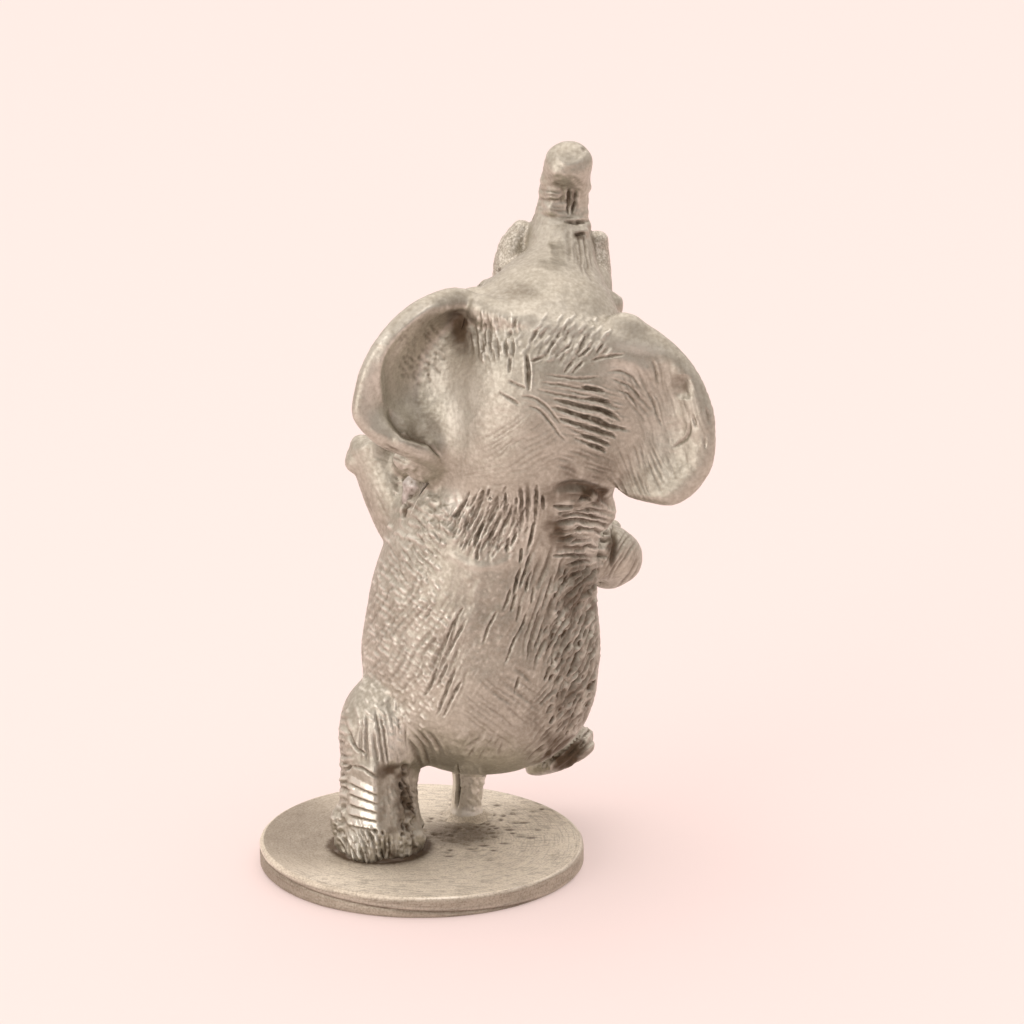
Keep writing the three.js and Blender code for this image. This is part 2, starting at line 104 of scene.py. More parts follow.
LEFT_TUSK = [
    [-7.4, -6.0, 42.0, 0.9 * TUSK_D],
    [-6.8, -8.6, 44.2, TUSK_D],
    [-7.1, -9.6, 46.2, 0.86 * TUSK_D],
    [-7.7, -9.8, 47.5, 0.66 * TUSK_D],
]
RIGHT_TUSK = [
    [-12.7, -6.0, 42.0, 0.9 * TUSK_D],
    [-13.2, -8.6, 44.0, TUSK_D],
    [-13.3, -9.6, 45.7, 0.86 * TUSK_D],
    [-13.5, -9.7, 46.7, 0.66 * TUSK_D],
]
LEFT_HIND_LEG = [
    [3.2, 1.6, 1.76, HIND_FOOT_D],
    [3.2, 1.6, 3.4, 0.95 * HIND_FOOT_D],
    [3.2, 1.4, 5.6, 0.86 * HIND_FOOT_D],
    [3.1, 0.8, 8.8, 0.88 * HIND_FOOT_D, 0.96 * HIND_FOOT_D],
    [2.75, -0.2, 11.3, 0.97 * HIND_FOOT_D, 1.1 * HIND_FOOT_D],
    [0.6, -1.8, 13.6, 0.8 * HIND_FOOT_D, HIND_FOOT_D],
]
RIGHT_HIND_LEG = [
    [-7.0, -4.2, 12.0, 1.1 * HIND_FOOT_D],
    [-7.8, -8.6, 10.6, HIND_FOOT_D],
    [-9.0, -10.0, 8.2, 0.84 * HIND_FOOT_D],
    [-10.2, -9.8, 6.2, 0.76 * HIND_FOOT_D],
    [-10.75, -9.4, 4.9, 0.84 * HIND_FOOT_D],
]
LEFT_FORELEG = [
    [-2.2, -4.2, 23.8, 1.25 * FOREFOOT_D],
    [0.4, -4.8, 26.2, 1.14 * FOREFOOT_D],
    [1.85, -5.4, 28.4, FOREFOOT_D],
    [2.7, -6.0, 30.2, 0.94 * FOREFOOT_D],
    [3.2, -6.5, 31.5, FOREFOOT_D],
]
RIGHT_FORELEG = [
    [-11.0, -4.4, 23.6, FOREFOOT_D],
    [-13.7, -5.4, 23.25, 0.86 * FOREFOOT_D],
    [-15.0, -6.9, 22.3, 0.75 * FOREFOOT_D],
    [-14.4, -9.3, 20.95, 0.72 * FOREFOOT_D],
    [-13.5, -11.6, 21.0, 0.76 * FOREFOOT_D],
    [-12.8, -13.2, 21.9, 0.92 * FOREFOOT_D],
]
TAIL = [
    [-3.4, -5.4, 1.76, 1.12 * TAIL_D],
    [-3.4, -5.4, 2.7, 0.96 * TAIL_D],
    [-3.6, -4.7, 4.8, 1.04 * TAIL_D],
    [-3.8, -3.4, 8.2, 1.5 * TAIL_D],
]
LEFT_EAR = {
    "cup": 2.6,
    "facing": -1,
    "root": [[-6.4, -0.6, 44.2], [-4.6, 0.0, 41.0], [-4.0, 0.8, 37.4], [-3.4, 1.8, 34.0]],
    "rim": [
        [-4.4, 0.4, 45.1], [-1.25, 1.8, 45.15], [2.25, 3.2, 43.0], [4.35, 3.8, 39.4],
        [4.65, 4.0, 36.5], [2.4, 4.0, 34.4], [-1.3, 3.0, 32.9],
    ],
}
RIGHT_EAR = {
    "cup": 0.8,
    "facing": 1,
    "root": [[-13.4, -0.6, 42.6], [-13.6, 0.0, 39.6], [-13.4, 0.6, 35.6], [-13.0, 1.2, 31.6]],
    "rim": [
        [-14.7, 0.8, 43.3], [-17.6, 1.6, 42.4], [-20.65, 2.6, 39.7], [-22.05, 3.4, 36.2],
        [-21.8, 3.8, 32.4], [-19.2, 3.8, 29.8], [-15.6, 2.6, 30.0],
    ],
}


# Curves and lofts


def full_turn(steps):
    return np.linspace(0, 2 * math.pi, steps, endpoint=False)


def spline(points, at):
    """Centripetal Catmull-Rom curve through the points, at places counted in points."""
    p = np.asarray(points, float)
    p = np.vstack([2 * p[0] - p[1], p, 2 * p[-1] - p[-2]])
    at = np.asarray(at, float)
    i = np.clip(np.floor(at).astype(int), 0, len(points) - 2)
    t = (at - i)[:, None]
    p0, p1, p2, p3 = p[i], p[i + 1], p[i + 2], p[i + 3]
    pairs = ((p0, p1), (p1, p2), (p2, p3))
    d0, d1, d2 = (np.sqrt(np.linalg.norm(b - a, axis=1, keepdims=True)) for a, b in pairs)
    d1 = np.where(d1 < 1e-4, 1.0, d1)
    d0 = np.where(d0 < 1e-4, d1, d0)
    d2 = np.where(d2 < 1e-4, d1, d2)
    m1 = ((p1 - p0) / d0 - (p2 - p0) / (d0 + d1) + (p2 - p1) / d1) * d1
    m2 = ((p2 - p1) / d1 - (p3 - p1) / (d1 + d2) + (p3 - p2) / d2) * d1
    return (
        p1 + m1 * t + (-3 * p1 + 3 * p2 - 2 * m1 - m2) * t**2 + (2 * p1 - 2 * p2 + m1 + m2) * t**3
    )


def grid_faces(rows, columns):
    r, c = np.meshgrid(np.arange(rows - 1), np.arange(columns), indexing="ij")
    a = r * columns + c
    b = r * columns + (c + 1) % columns
    return np.stack([a, b, b + columns, a + columns], -1).reshape(-1, 4)


def loft(stations, span=None, dome_start=0.0, dome_end=0.0, sides=96, steps=20):
    """Points and quads of a closed loft; its ends are flat or domed."""
    full = [(s + [s[3]])[:5] for s in stations]
    first, last = span or (0, len(stations) - 1)
    rings = [(t, 0.0, 1.0) for t in np.linspace(first, last, steps * (last - first) + 1)]
    turns = np.linspace(0, math.pi / 2, 13)[1:] * 0.985
    if dome_start:
        rings = [(first, -dome_start * math.sin(a), math.cos(a)) for a in turns[::-1]] + rings
    else:
        rings = [(first, 0.0, s) for s in (0.02, 0.5)] + rings
    if dome_end:
        rings += [(last, dome_end * math.sin(a), math.cos(a)) for a in turns]
    else:
        rings += [(last, 0.0, s) for s in (0.5, 0.02)]
    t, offset, scale = (np.array(column) for column in zip(*rings))
    centre = spline([s[:3] for s in full], t)
    ahead = spline([s[:3] for s in full], np.minimum(t + 1e-3, len(full) - 1))
    behind = spline([s[:3] for s in full], np.maximum(t - 1e-3, 0))
    along = unit(ahead - behind)
    half = spline([[s[3] / 2, s[4] / 2, 0.0] for s in full], t) * scale[:, None]
    side = unit(np.array([1.0, 0, 0]) - along * along[:, :1])
    back = np.cross(along, side)
    angle = full_turn(sides)
    points = (
        (centre + along * offset[:, None])[:, None]
        + side[:, None] * (half[:, :1] * np.cos(angle))[..., None]
        + back[:, None] * (half[:, 1:2] * np.sin(angle))[..., None]
    )
    return points.reshape(-1, 3), grid_faces(len(t), sides)


def ear(form, rim, rows=80, columns=48):
    """Points and quads of a cupped ear; its rim is thicker than the sheet by a factor."""
    t = np.linspace(0, 1, rows)
    s = np.linspace(0, 1, columns)
    root = spline(form["root"], t * (len(form["root"]) - 1))[:, None]
    edge = spline(form["rim"], t * (len(form["rim"]) - 1))[:, None]
    sheet = root + (edge - root) * s[None, :, None]
    sheet[..., 1] -= form["cup"] * np.sin(math.pi * s)[None] * np.sin(math.pi * t)[:, None]
    down = np.gradient(sheet, axis=0)
    out = np.gradient(sheet, axis=1)
    normal = unit(np.cross(down, out) * form["facing"])
    ends = np.sqrt(np.clip(1 - (2 * t - 1) ** 8, 0.0004, 1))
    round_off = np.sqrt(np.clip(1 - np.clip((s - 0.86) / 0.14, 0, 1) ** 2, 0.0004, 1))
    swell = 0.8 + (rim - 0.8) * np.clip((s - 0.5) / 0.35, 0, 1) ** 2
    half = EAR_T / 2 * (swell * round_off)[None] * ends[:, None]
    back = sheet + normal * half[..., None]
    front = sheet - normal * half[..., None]
    ring = np.concatenate([back, front[:, ::-1]], axis=1)
    return ring.reshape(-1, 3), grid_faces(rows, 2 * columns)


def ball(centre, radius, rows=16, columns=24):
    a = np.linspace(0.02, math.pi - 0.02, rows)[:, None]
    b = full_turn(columns)[None]
    p = np.stack([np.sin(a) * np.cos(b), np.sin(a) * np.sin(b), np.cos(a) + 0 * b], -1)
    return (np.asarray(centre) + p * radius).reshape(-1, 3), grid_faces(rows, columns)[:, ::-1]


NAILS, NAIL_TURN = 4, 0.62  # nails on a foot, and the angle from one to the next
NAIL_OUT, NAIL_R, NAIL_UP = 0.46, 0.12, 1.15  # in widths of the foot, and the last in radii


def toes(stations, sole, *forward):
    """Nail balls round the front of a foot, as on the solids."""
    forward = np.array(forward, float)
    foot = np.array(stations[sole][:3])
    width = stations[sole][3]
    axis = unit(np.array(stations[1 if sole == 0 else sole - 1][:3]) - foot)
    ahead = unit(forward - axis * (forward @ axis))
    aside = np.cross(axis, ahead)
    nails = []
    for i in range(NAILS):
        turn = (i - (NAILS - 1) / 2) * NAIL_TURN
        place = foot + (ahead * math.cos(turn) + aside * math.sin(turn)) * NAIL_OUT * width
        nails.append(ball(place + axis * NAIL_UP * NAIL_R * width, NAIL_R * width))
    return nails


# Forms that only the cast skin shows: a ridge and webs at the ears, folds, rolls and lumps


def at_picture(x, y, depth_y):
    """The point with a given y, in mm, that the camera sees at a place of the picture."""
    ray = LOOK + RIGHT * (x - PICTURE / 2) / FOCAL + UPWARD * (PICTURE / 2 - y) / FOCAL
    return CAMERA_AT + ray * (depth_y - CAMERA_AT[1]) / ray[1]


def seen_line(points):
    """Loft stations from picture places with a depth and a diameter."""
    return [[*at_picture(x, y, d), w] for x, y, d, w in points]


def lumps(places):
    """Ovals at picture places, each with a depth and three radii."""
    return [ball(at_picture(x, y, d), np.array(radii)) for x, y, d, *radii in places]


# Each row: place in the picture and depth in mm, then a diameter or three radii

EAR_RIDGE = seen_line(
    [(590, 339, 1.6, 2.5), (618, 344, 1.4, 2.6), (652, 352, 1.3, 2.3), (682, 370, 1.8, 2.0)]
)
EAR_LOBE = seen_line(
    [(398, 439, 3.5, 1.8), (412, 446, 3.2, 2.0), (426, 452, 2.7, 2.0)]
    + [(436, 461, 2.0, 1.8), (443, 472, 1.3, 1.3)]
)
EAR_WEBS = [
    ball([-15.2, 0.9, 37.4], np.array([3.6, 1.9, 6.6])),
    ball([-2.9, -0.7, 38.0], np.array([3.2, 1.9, 3.4])),
    ball([-4.2, -1.9, 42.2], np.array([2.6, 1.6, 3.0])),
]
EAR_WALL = seen_line(
    [(476, 306, -0.3, 2.2), (472, 326, -0.6, 2.6), (466, 350, -0.7, 2.8), (458, 376, -0.6, 3.0)]
)
CROWN_LUMPS = [
    (541, 317, 1.6, 1.3, 0.9, 0.8), (512, 309, 1.0, 0.9, 0.7, 0.5), (578, 326, 1.2, 1.2, 0.8, 0.6),
    (489, 304, -2.6, 1.2, 1.2, 0.9), (603, 508, -1.4, 1.0, 1.3, 1.6),
]
TRUNK_ROLLS = [
    (549, 181, -8.1), (547, 193, -8.7), (545, 206, -9.0), (543, 219, -9.0), (554, 194, -7.5),
    (553, 208, -7.7), (582, 188, -8.4), (580, 201, -8.6), (580, 213, -8.6), (583, 226, -8.6),
    (580, 231, -7.3),
]
SHOULDER_FOLDS = [
    (361, 445, -5.6, 0.9, 0.9, 0.9), (356, 462, -5.4, 0.9, 0.9, 0.9), (428, 456, -1.6, 1.4, 1.8, 1.2),
    (436, 467, -0.7, 1.0, 1.4, 1.2), (424, 470, -1.8, 1.2, 1.4, 1.2), (409, 462, -3.4, 1.2, 1.2, 1.2),
    (433, 480, 0.0, 0.8, 0.7, 0.9), (427, 490, 0.0, 0.7, 0.6, 0.7), (420, 503, 0.1, 0.8, 0.6, 0.6),
    (409, 511, -0.6, 0.8, 0.7, 0.6), (412, 459, 1.0, 1.5, 1.5, 1.0), (424, 465, 0.8, 1.5, 1.5, 1.3),
    (434, 474, 0.3, 1.1, 1.3, 1.1),
]
FOOT_LUMPS = [
    (342, 822, 2.0, 1.0, 1.0, 1.4), (347, 840, 2.9, 0.9, 0.9, 0.5), (412, 834, 2.8, 0.9, 0.9, 0.7),
    (409, 800, 1.6, 0.6, 0.7, 1.6), (416, 837, 2.4, 0.9, 0.9, 0.6), (367, 853, 4.2, 0.8, 0.8, 0.5),
]
ROLL_X, ROLL_Y, ROLL_STEP = 346, 722, 13.5  # first of the rolls down the standing leg
LEG_ROLLS = [(ROLL_X, ROLL_Y + ROLL_STEP * k, 0.3 + 0.2 * k, 0.55, 0.9, 0.36) for k in range(7)]
TRUNK_ROLL = (0.75, 0.8, 0.5)  # radii
SMALL_DOMES = {"dome_start": 0.6, "dome_end": 0.6, "sides": 48}

FORMS = {
    "torso": [loft(BODY_LINE, (0, NECK), dome_start=6.9)],
    "head": [
        loft(BODY_LINE, (NECK, TRUNK_ROOT)),
        loft(LOWER_JAW, dome_start=1.0, dome_end=1.1),
        loft(LEFT_CHEEK, dome_start=0.8, dome_end=0.8),
        loft(RIGHT_CHEEK, dome_start=0.8, dome_end=0.8),
        loft(BROW_LEDGE, **SMALL_DOMES),
        loft(EAR_RIDGE, **SMALL_DOMES),
        loft(EAR_WALL, **SMALL_DOMES),
        *EAR_WEBS,
        *lumps(CROWN_LUMPS),
        *[ball(c, EYE_R) for c in EYES],
    ],
    "trunk": [
        loft(BODY_LINE, (TRUNK_ROOT, TRUNK_TIP), dome_end=1.15),
        *lumps((*place, *TRUNK_ROLL) for place in TRUNK_ROLLS),
    ],
    "left_ear": [ear(LEFT_EAR, rim=1.15), loft(EAR_LOBE, **SMALL_DOMES)],
    "right_ear": [ear(RIGHT_EAR, rim=1.15)],
    "left_tusk": [loft(LEFT_TUSK, dome_end=0.8)],
    "right_tusk": [loft(RIGHT_TUSK, dome_end=0.8)],
    "left_foreleg": [
        loft(LEFT_FORELEG, dome_start=1.2, dome_end=0.8),
        *lumps(SHOULDER_FOLDS),
        *toes(LEFT_FORELEG, 4, 0, -1, 0),
    ],
    "right_foreleg": [
        loft(RIGHT_FORELEG, dome_start=1.2, dome_end=0.8),
        *toes(RIGHT_FORELEG, 5, 0, 0, 1),
    ],
    "left_hind_leg": [
        loft(LEFT_HIND_LEG, dome_end=2.0),
        *lumps(FOOT_LUMPS + LEG_ROLLS),
        *toes(LEFT_HIND_LEG, 0, 0, -1, 0),
    ],
    "right_hind_leg": [
        loft(RIGHT_HIND_LEG, dome_start=1.5, dome_end=0.9),
        *toes(RIGHT_HIND_LEG, 4, 0, -1, 0.2),
    ],
    "tail": [loft(TAIL, dome_end=0.6)],
}
NAMES = list(FORMS)


# Mesh helpers


def make_mesh(name, points, polygons):
    """A mesh from points and a list of arrays of polygons, each array with one corner count."""
    mesh = bpy.data.meshes.new(name)
    counts = np.concatenate([np.full(len(p), p.shape[1]) for p in polygons])
    corners = np.concatenate([p.ravel() for p in polygons])
    starts = np.concatenate([[0], np.cumsum(counts)[:-1]])
    mesh.vertices.add(len(points))
    mesh.vertices.foreach_set("co", np.asarray(points, np.float32).ravel())
    mesh.loops.add(len(corners))
    mesh.loops.foreach_set("vertex_index", corners.astype(np.int32))
    mesh.polygons.add(len(counts))
    mesh.polygons.foreach_set("loop_start", starts.astype(np.int32))
    mesh.update(calc_edges=True)
    return mesh


def add_object(name, data):
    """Puts a mesh, light or camera into the scene."""
    added = bpy.data.objects.new(name, data)
    bpy.context.scene.collection.objects.link(added)
    return added


def fuse(parts, voxel):
    """One skin over overlapping closed forms."""
    points, faces, base = [], [], 0
    for p, f in parts:
        points.append(p)
        faces.append(f + base)
        base += len(p)
    joined = add_object("joined", make_mesh("joined", np.vstack(points), faces))
    remesh = joined.modifiers.new("fuse", "REMESH")
    remesh.mode = "VOXEL"
    remesh.voxel_size = voxel
    skin = joined.evaluated_get(bpy.context.evaluated_depsgraph_get()).to_mesh()
    v = np.zeros(len(skin.vertices) * 3, np.float32)
    skin.vertices.foreach_get("co", v)
    q = np.zeros(len(skin.loops), np.int32)
    skin.loops.foreach_get("vertex_index", q)
    assert len(q) == 4 * len(skin.polygons)
    bpy.data.objects.remove(joined)
    return v.reshape(-1, 3).astype(float), q.reshape(-1, 4)


def sides_of(quads):
    """Sides of quads as pairs of points: every first side, then every second one and so on."""
    return np.concatenate([quads[:, [i, (i + 1) % 4]] for i in range(4)])


def edges_of(quads):
    return np.unique(np.sort(sides_of(quads), axis=1), axis=0)


def average(values, edges, count):
    """Mean of each vertex's neighbours."""
    values = values.reshape(count, -1)
    n = np.bincount(edges.ravel(), minlength=count)[:, None]
    total = np.stack(
        [
            np.bincount(edges[:, 0], values[edges[:, 1], k], count)
            + np.bincount(edges[:, 1], values[edges[:, 0], k], count)
            for k in range(values.shape[1])
        ],
        1,
    )
    return (total / np.maximum(n, 1)).squeeze()


def normals_of(v, quads):
    n = np.cross(v[quads[:, 2]] - v[quads[:, 0]], v[quads[:, 3]] - v[quads[:, 1]])
    out = np.zeros_like(v)
    for k in range(4):
        for axis in range(3):
            out[:, axis] += np.bincount(quads[:, k], n[:, axis], len(v))
    return out / np.maximum(np.linalg.norm(out, axis=1, keepdims=True), 1e-12)


def smooth(v, edges, rounds, weight):
    for _ in range(rounds):
        v = v + (average(v, edges, len(v)) - v) * weight
    return v


def hollow(v, edges, n):
    """How far a vertex lies below its neighbours, in mm; negative on ridges."""
    return ((average(v, edges, len(v)) - v) * n).sum(1)


def subdivide(v, quads):
    """Each quad cut into four."""
    unique, back = np.unique(np.sort(sides_of(quads), axis=1), axis=0, return_inverse=True)
    back = back.reshape(4, -1).T + len(v)
    middle = np.arange(len(quads)) + len(v) + len(unique)
    points = np.vstack([v, v[unique].mean(1), v[quads].mean(1)])
    faces = np.stack(
        [np.stack([quads[:, i], back[:, i], middle, back[:, i - 1]], 1) for i in range(4)], 1
    )
    return points, faces.reshape(-1, 4)


# Chance and noise, the same in every run

WORD = np.uint64(0xFFFFFFFF)
STIR_A, STIR_B = np.uint64(2246822519), np.uint64(3266489917)  # odd numbers that mix the bits


def chance(seed, *keys):
    """A number from 0 to 1 that depends on whole numbers only."""
    h = np.full(np.shape(keys[0]), (seed * 2654435761 + 97) & 0xFFFFFFFF, np.uint64)
    for key in keys:
        h = (h ^ (np.asarray(key, np.int64).astype(np.uint64) & WORD)) * STIR_A & WORD
        h = (h ^ (h >> np.uint64(13))) * STIR_B & WORD
        h = h ^ (h >> np.uint64(16))
    return (h & np.uint64(0xFFFFFF)).astype(float) / 0x1000000


def noise(p, size, seed):
    """Smooth noise from 0 to 1 at points, in cells of a size."""
    q = p / size
    i = np.floor(q).astype(np.int64)
    f = q - i
    f = f * f * (3 - 2 * f)
    total = 0.0
    for corner in np.ndindex(2, 2, 2):
        wx, wy, wz = np.where(corner, f, 1 - f).T
        total = total + wx * wy * wz * chance(seed, *(i + corner).T)
    return total


def ramp(x, low, high):
    """Smooth step from 0 at low to 1 at high; low may be the larger."""
    t = np.clip((x - low) / (high - low), 0, 1)
    return t * t * (3 - 2 * t)


def between(x, rise, fall):
    """1 between two soft edges, each given by where it begins and ends."""
    return ramp(x, *rise) * (1 - ramp(x, *fall))


# Fusing the forms into one skin and easing its creases

SETTLE = 0.5  # weight of one round of smoothing
CREASED, CREASE_SPREAD, CREASE_ROUNDS = (0.006, 0.02), 4, 20  # mm below the neighbours, and rounds
coarse_v, coarse_q = fuse([form for forms in FORMS.values() for form in forms], VOXEL)
edges = edges_of(coarse_q)
coarse_v = smooth(coarse_v, edges, 3, SETTLE)
crease = ramp(hollow(coarse_v, edges, normals_of(coarse_v, coarse_q)), *CREASED)
for _ in range(CREASE_SPREAD):
    crease = np.maximum(crease, 0.93 * average(crease, edges, len(crease)))
crease = np.clip(1.6 * crease, 0, 1)
coarse_v = smooth(coarse_v, edges, CREASE_ROUNDS, SETTLE * crease[:, None])


def oval(x, y, place, soft=0.35):
    """A soft-edged oval: centre, radii and turn in degrees; 1 inside, 0 outside."""
    cx, cy, rx, ry, *turn = place
    a = math.radians(turn[0] if turn else 0.0)
    along = ((x - cx) * math.cos(a) + (y - cy) * math.sin(a)) / rx
    across = (-(x - cx) * math.sin(a) + (y - cy) * math.cos(a)) / ry
    return ramp(1 - np.hypot(along, across), 0, soft)


def fill(v, quads, edges, mask, rounds):
    """Raises hollows towards their surroundings where the mask says, and leaves ridges."""
    near = np.flatnonzero(mask > 0.01)
    index = np.full(len(v), -1)
    index[near] = np.arange(len(near))
    local = index[edges]
    local = local[(local >= 0).all(1)]
    patch_v, w = v[near], mask[near]
    n = normals_of(v, quads)[near]
    for _ in range(rounds):
        pull = average(patch_v, local, len(near)) - patch_v
        rise = (pull * n).sum(1)
        slide = pull - n * rise[:, None]
        patch_v = patch_v + (n * np.maximum(rise, 0)[:, None] + 0.3 * slide) * w[:, None]
    v = v.copy()
    v[near] = patch_v
    return v


x, y = picture_xy(coarse_v)
to_camera = (CAMERA_AT - coarse_v) / CAMERA_FAR
behind = ramp((to_camera * normals_of(coarse_v, coarse_q)).sum(1), -0.1, 0.3)
EASED = [  # oval in the picture and how many rounds its hollows are raised
    ((622, 420, 60, 105), 500),
    ((464, 402, 46, 78), 500),
    ((424, 738, 36, 40), 250),
    ((545, 285, 70, 34), 200),
    ((402, 512, 34, 36), 100),
    ((338, 800, 18, 30), 60),
]
for place, rounds in EASED:
    coarse_v = fill(coarse_v, coarse_q, edges, oval(x, y, place) * behind, rounds)
coarse_v = smooth(coarse_v, edges, 3, SETTLE)

# Which casting each quad belongs to: the nearest form, then a vote among neighbours evens the borders

VOTES, OWN_VOTE = 12, 1.5
tree = kdtree.KDTree(sum(len(p) for forms in FORMS.values() for p, _ in forms))
owner_of = []
for k, forms in enumerate(FORMS.values()):
    for p, _ in forms:
        for point in p:
            tree.insert(point, len(owner_of))
            owner_of.append(k)
tree.balance()
owner = np.array([owner_of[tree.find(c)[1]] for c in coarse_v[coarse_q].mean(1)])
order = np.lexsort(np.sort(sides_of(coarse_q), axis=1).T)
across = np.tile(np.arange(len(coarse_q)), 4)[order].reshape(-1, 2)
for _ in range(VOTES):
    votes = np.zeros((len(owner), len(NAMES)))
    votes[np.arange(len(owner)), owner] = OWN_VOTE
    np.add.at(votes, (across[:, 0], owner[across[:, 1]]), 1)
    np.add.at(votes, (across[:, 1], owner[across[:, 0]]), 1)
    owner = votes.argmax(1)

skin_v, skin_q = subdivide(coarse_v, coarse_q)
owner = np.repeat(owner, 4)
edges = edges_of(skin_q)
skin_v = smooth(skin_v, edges, 2, SETTLE)
skin_n = normals_of(skin_v, skin_q)
count = len(skin_v)

# Views of the skin that strokes are drawn in: x and y in picture elements, and how much it faces them

to_camera = CAMERA_AT - skin_v
away = np.linalg.norm(to_camera, axis=1)
facing = (skin_n * to_camera).sum(1) / away
px, py = picture_xy(skin_v)
SPOT, COVERED = 3, (1.5, 3.0)  # picture elements; mm behind the nearest skin in the same spot
spot = np.floor(px / SPOT).astype(int) * PICTURE + np.floor(py / SPOT).astype(int)
nearest = np.full(spot.max() + 1, np.inf)
np.minimum.at(nearest, spot, away)
seen = ramp(facing, -0.12, 0.25) * (1 - ramp(away - nearest[spot], *COVERED))
PER_MM = 13.23  # picture elements per mm
MIDDLE, GROUND = 512, 800  # where the origin lies in the drawings from the front and the sides
ROW = 4096  # more than the cells in a row of a drawing


def tremor(seed):
    """Keeps lines from running too straight, in picture elements."""
    return 0.9 * (noise(skin_v, 0.3, seed) - 0.5) + 2.4 * (noise(skin_v, 1.5, seed + 1) - 0.5)


class View:
    """Where the skin lies in one drawing, sorted into cells so that what is near is found quickly."""

    def __init__(self, x, y, weight, seed, cell=14):
        self.x = x + tremor(seed)
        self.y = y + tremor(seed + 2)
        self.weight = weight
        held = np.flatnonzero(weight > 0.02)
        key = np.floor(self.x[held] / cell).astype(int) * ROW + np.floor(self.y[held] / cell).astype(int)
        order = np.argsort(key, kind="stable")
        keys, starts = np.unique(key[order], return_index=True)
        self.bins = dict(zip(keys.tolist(), np.split(held[order], starts[1:])))
        self.cell = cell

    def near(self, x0, y0, x1, y1):
        c = self.cell
        found = [
            self.bins[i * ROW + j]
            for i in range(int(x0 // c), int(x1 // c) + 1)
            for j in range(int(y0 // c), int(y1 // c) + 1)
            if i * ROW + j in self.bins
        ]
        return np.concatenate(found) if found else np.zeros(0, int)


hidden = 1 - seen
ahead, aside, aloft = (PER_MM * skin_v[:, k] for k in (0, 1, 2))
BACK = View(px, py, seen, 201)
FRONT = View(MIDDLE + ahead, GROUND - aloft, ramp(-skin_n[:, 1], 0.1, 0.45) * hidden, 211)
LEFT = View(MIDDLE + aside, GROUND - aloft, ramp(skin_n[:, 0], 0.2, 0.6) * hidden, 221)
RIGHTWARD = View(MIDDLE - aside, GROUND - aloft, ramp(-skin_n[:, 0], 0.2, 0.6) * hidden, 231)

depth = np.zeros(count)  # mm, cut into the skin
tarnish = np.zeros(count)  # dark patina, and painted shade from the tables below, 0 to 1
polish = np.zeros(count)  # rubbed bright, and painted highlights from the tables below, 0 to 1
relief = np.zeros(count)  # mm, raised by uneven casting, burrs and ridges
hatch = np.zeros((count, 3))  # place along and across the hatching, for the metal's own fine lines
hatched = np.zeros(count)  # how strong these are, 0 to 1

REACH = 3.2  # widths to each side that a line is felt
LIP_AT, LIP_WIDTH = 2.1, 0.9  # widths, the raised lip beside a cut


def at_least(field, at, values):
    field[at] = np.maximum(field[at], values)


def beside(view, points, reach):
    """Skin points near a smooth line: which, how far from it, and how far along it from 0 to 1."""
    p = np.reshape(points, (-1, 2)).astype(float)
    if len(p) > 2:
        p = spline(p, np.linspace(0, len(p) - 1, 5 * len(p) - 4))
    low, high = p.min(0) - reach, p.max(0) + reach
    at = view.near(low[0], low[1], high[0], high[1])
    x, y = view.x[at], view.y[at]
    lengths = np.hypot(*np.diff(p, axis=0).T)
    gap = np.full(len(at), 1e9)
    where = np.zeros(len(at))
    done = 0.0
    for (x0, y0), (x1, y1), length in zip(p, p[1:], lengths):
        t = np.clip(((x - x0) * (x1 - x0) + (y - y0) * (y1 - y0)) / length**2, 0, 1)
        d = np.hypot(x - x0 - t * (x1 - x0), y - y0 - t * (y1 - y0))
        closer = d < gap
        gap = np.where(closer, d, gap)
        where = np.where(closer, (done + t * length) / lengths.sum(), where)
        done += length
    taper = np.clip(1 - np.abs(2 * where - 1) ** 3.4, 0, 1)
    return at, gap, taper


def stroke(view, points, width, deep, dark=0.8, lip=0.2, ragged=0.45):
    """A cut along a smooth line, deepest in the middle, with a raised lip on both sides."""
    at, gap, taper = beside(view, points, REACH * width)
    wide = width * (0.5 + 0.4 * taper + 0.2 * noise(skin_v[at], 0.35, 242))
    taper = taper * view.weight[at] * (1 + ragged * (2 * noise(skin_v[at], 0.3, 241) - 1))
    groove = np.exp(-((gap / wide) ** 2)) * taper
    side = np.exp(-(((gap - LIP_AT * wide) / (LIP_WIDTH * wide)) ** 2)) * taper
    at_least(depth, at, groove * deep)
    at_least(tarnish, at, groove * dark)
    relief[at] += side * lip * deep
    at_least(polish, at, 1.8 * lip * side * min(1.0, deep / 0.2))


def swell(view, points, width, height, bright=0.0):
    """A soft ridge along a smooth line, with a painted highlight along its crest."""
    at, gap, taper = beside(view, points, REACH * width)
    crest = np.exp(-((gap / width) ** 2)) * taper * view.weight[at]
    relief[at] += height * crest
    at_least(polish, at, bright * crest)


def scatter(draw, place, turn, step, long, width, size, tone, seed):
    """Short strokes or ridges on the back in uneven rows, over an oval with a ragged edge."""
    cx, cy, rx, ry = place
    rng = np.random.default_rng(seed)
    along = np.array([math.cos(math.radians(turn)), math.sin(math.radians(turn))])
    across = np.array([-along[1], along[0]])
    reach = int(max(rx, ry) / step) + 1
    for i in range(-reach, reach + 1):
        for j in range(-reach, reach + 1):
            u, v, half, gain, edge = rng.random(5)
            away = step * ((i + 0.5 * (j % 2) + 0.7 * u) * along + (j + 0.7 * v) * across)
            if math.hypot(away[0] / rx, away[1] / ry) < 0.7 + 0.3 * edge:
                middle = np.array([cx, cy]) + away
                reach_out = along * long * (0.25 + 0.5 * half)
                line = [middle - reach_out, middle + reach_out]
                draw(BACK, line, width, size * (0.4 + 0.9 * gain), min(1.0, tone * (0.4 + 0.9 * gain)))


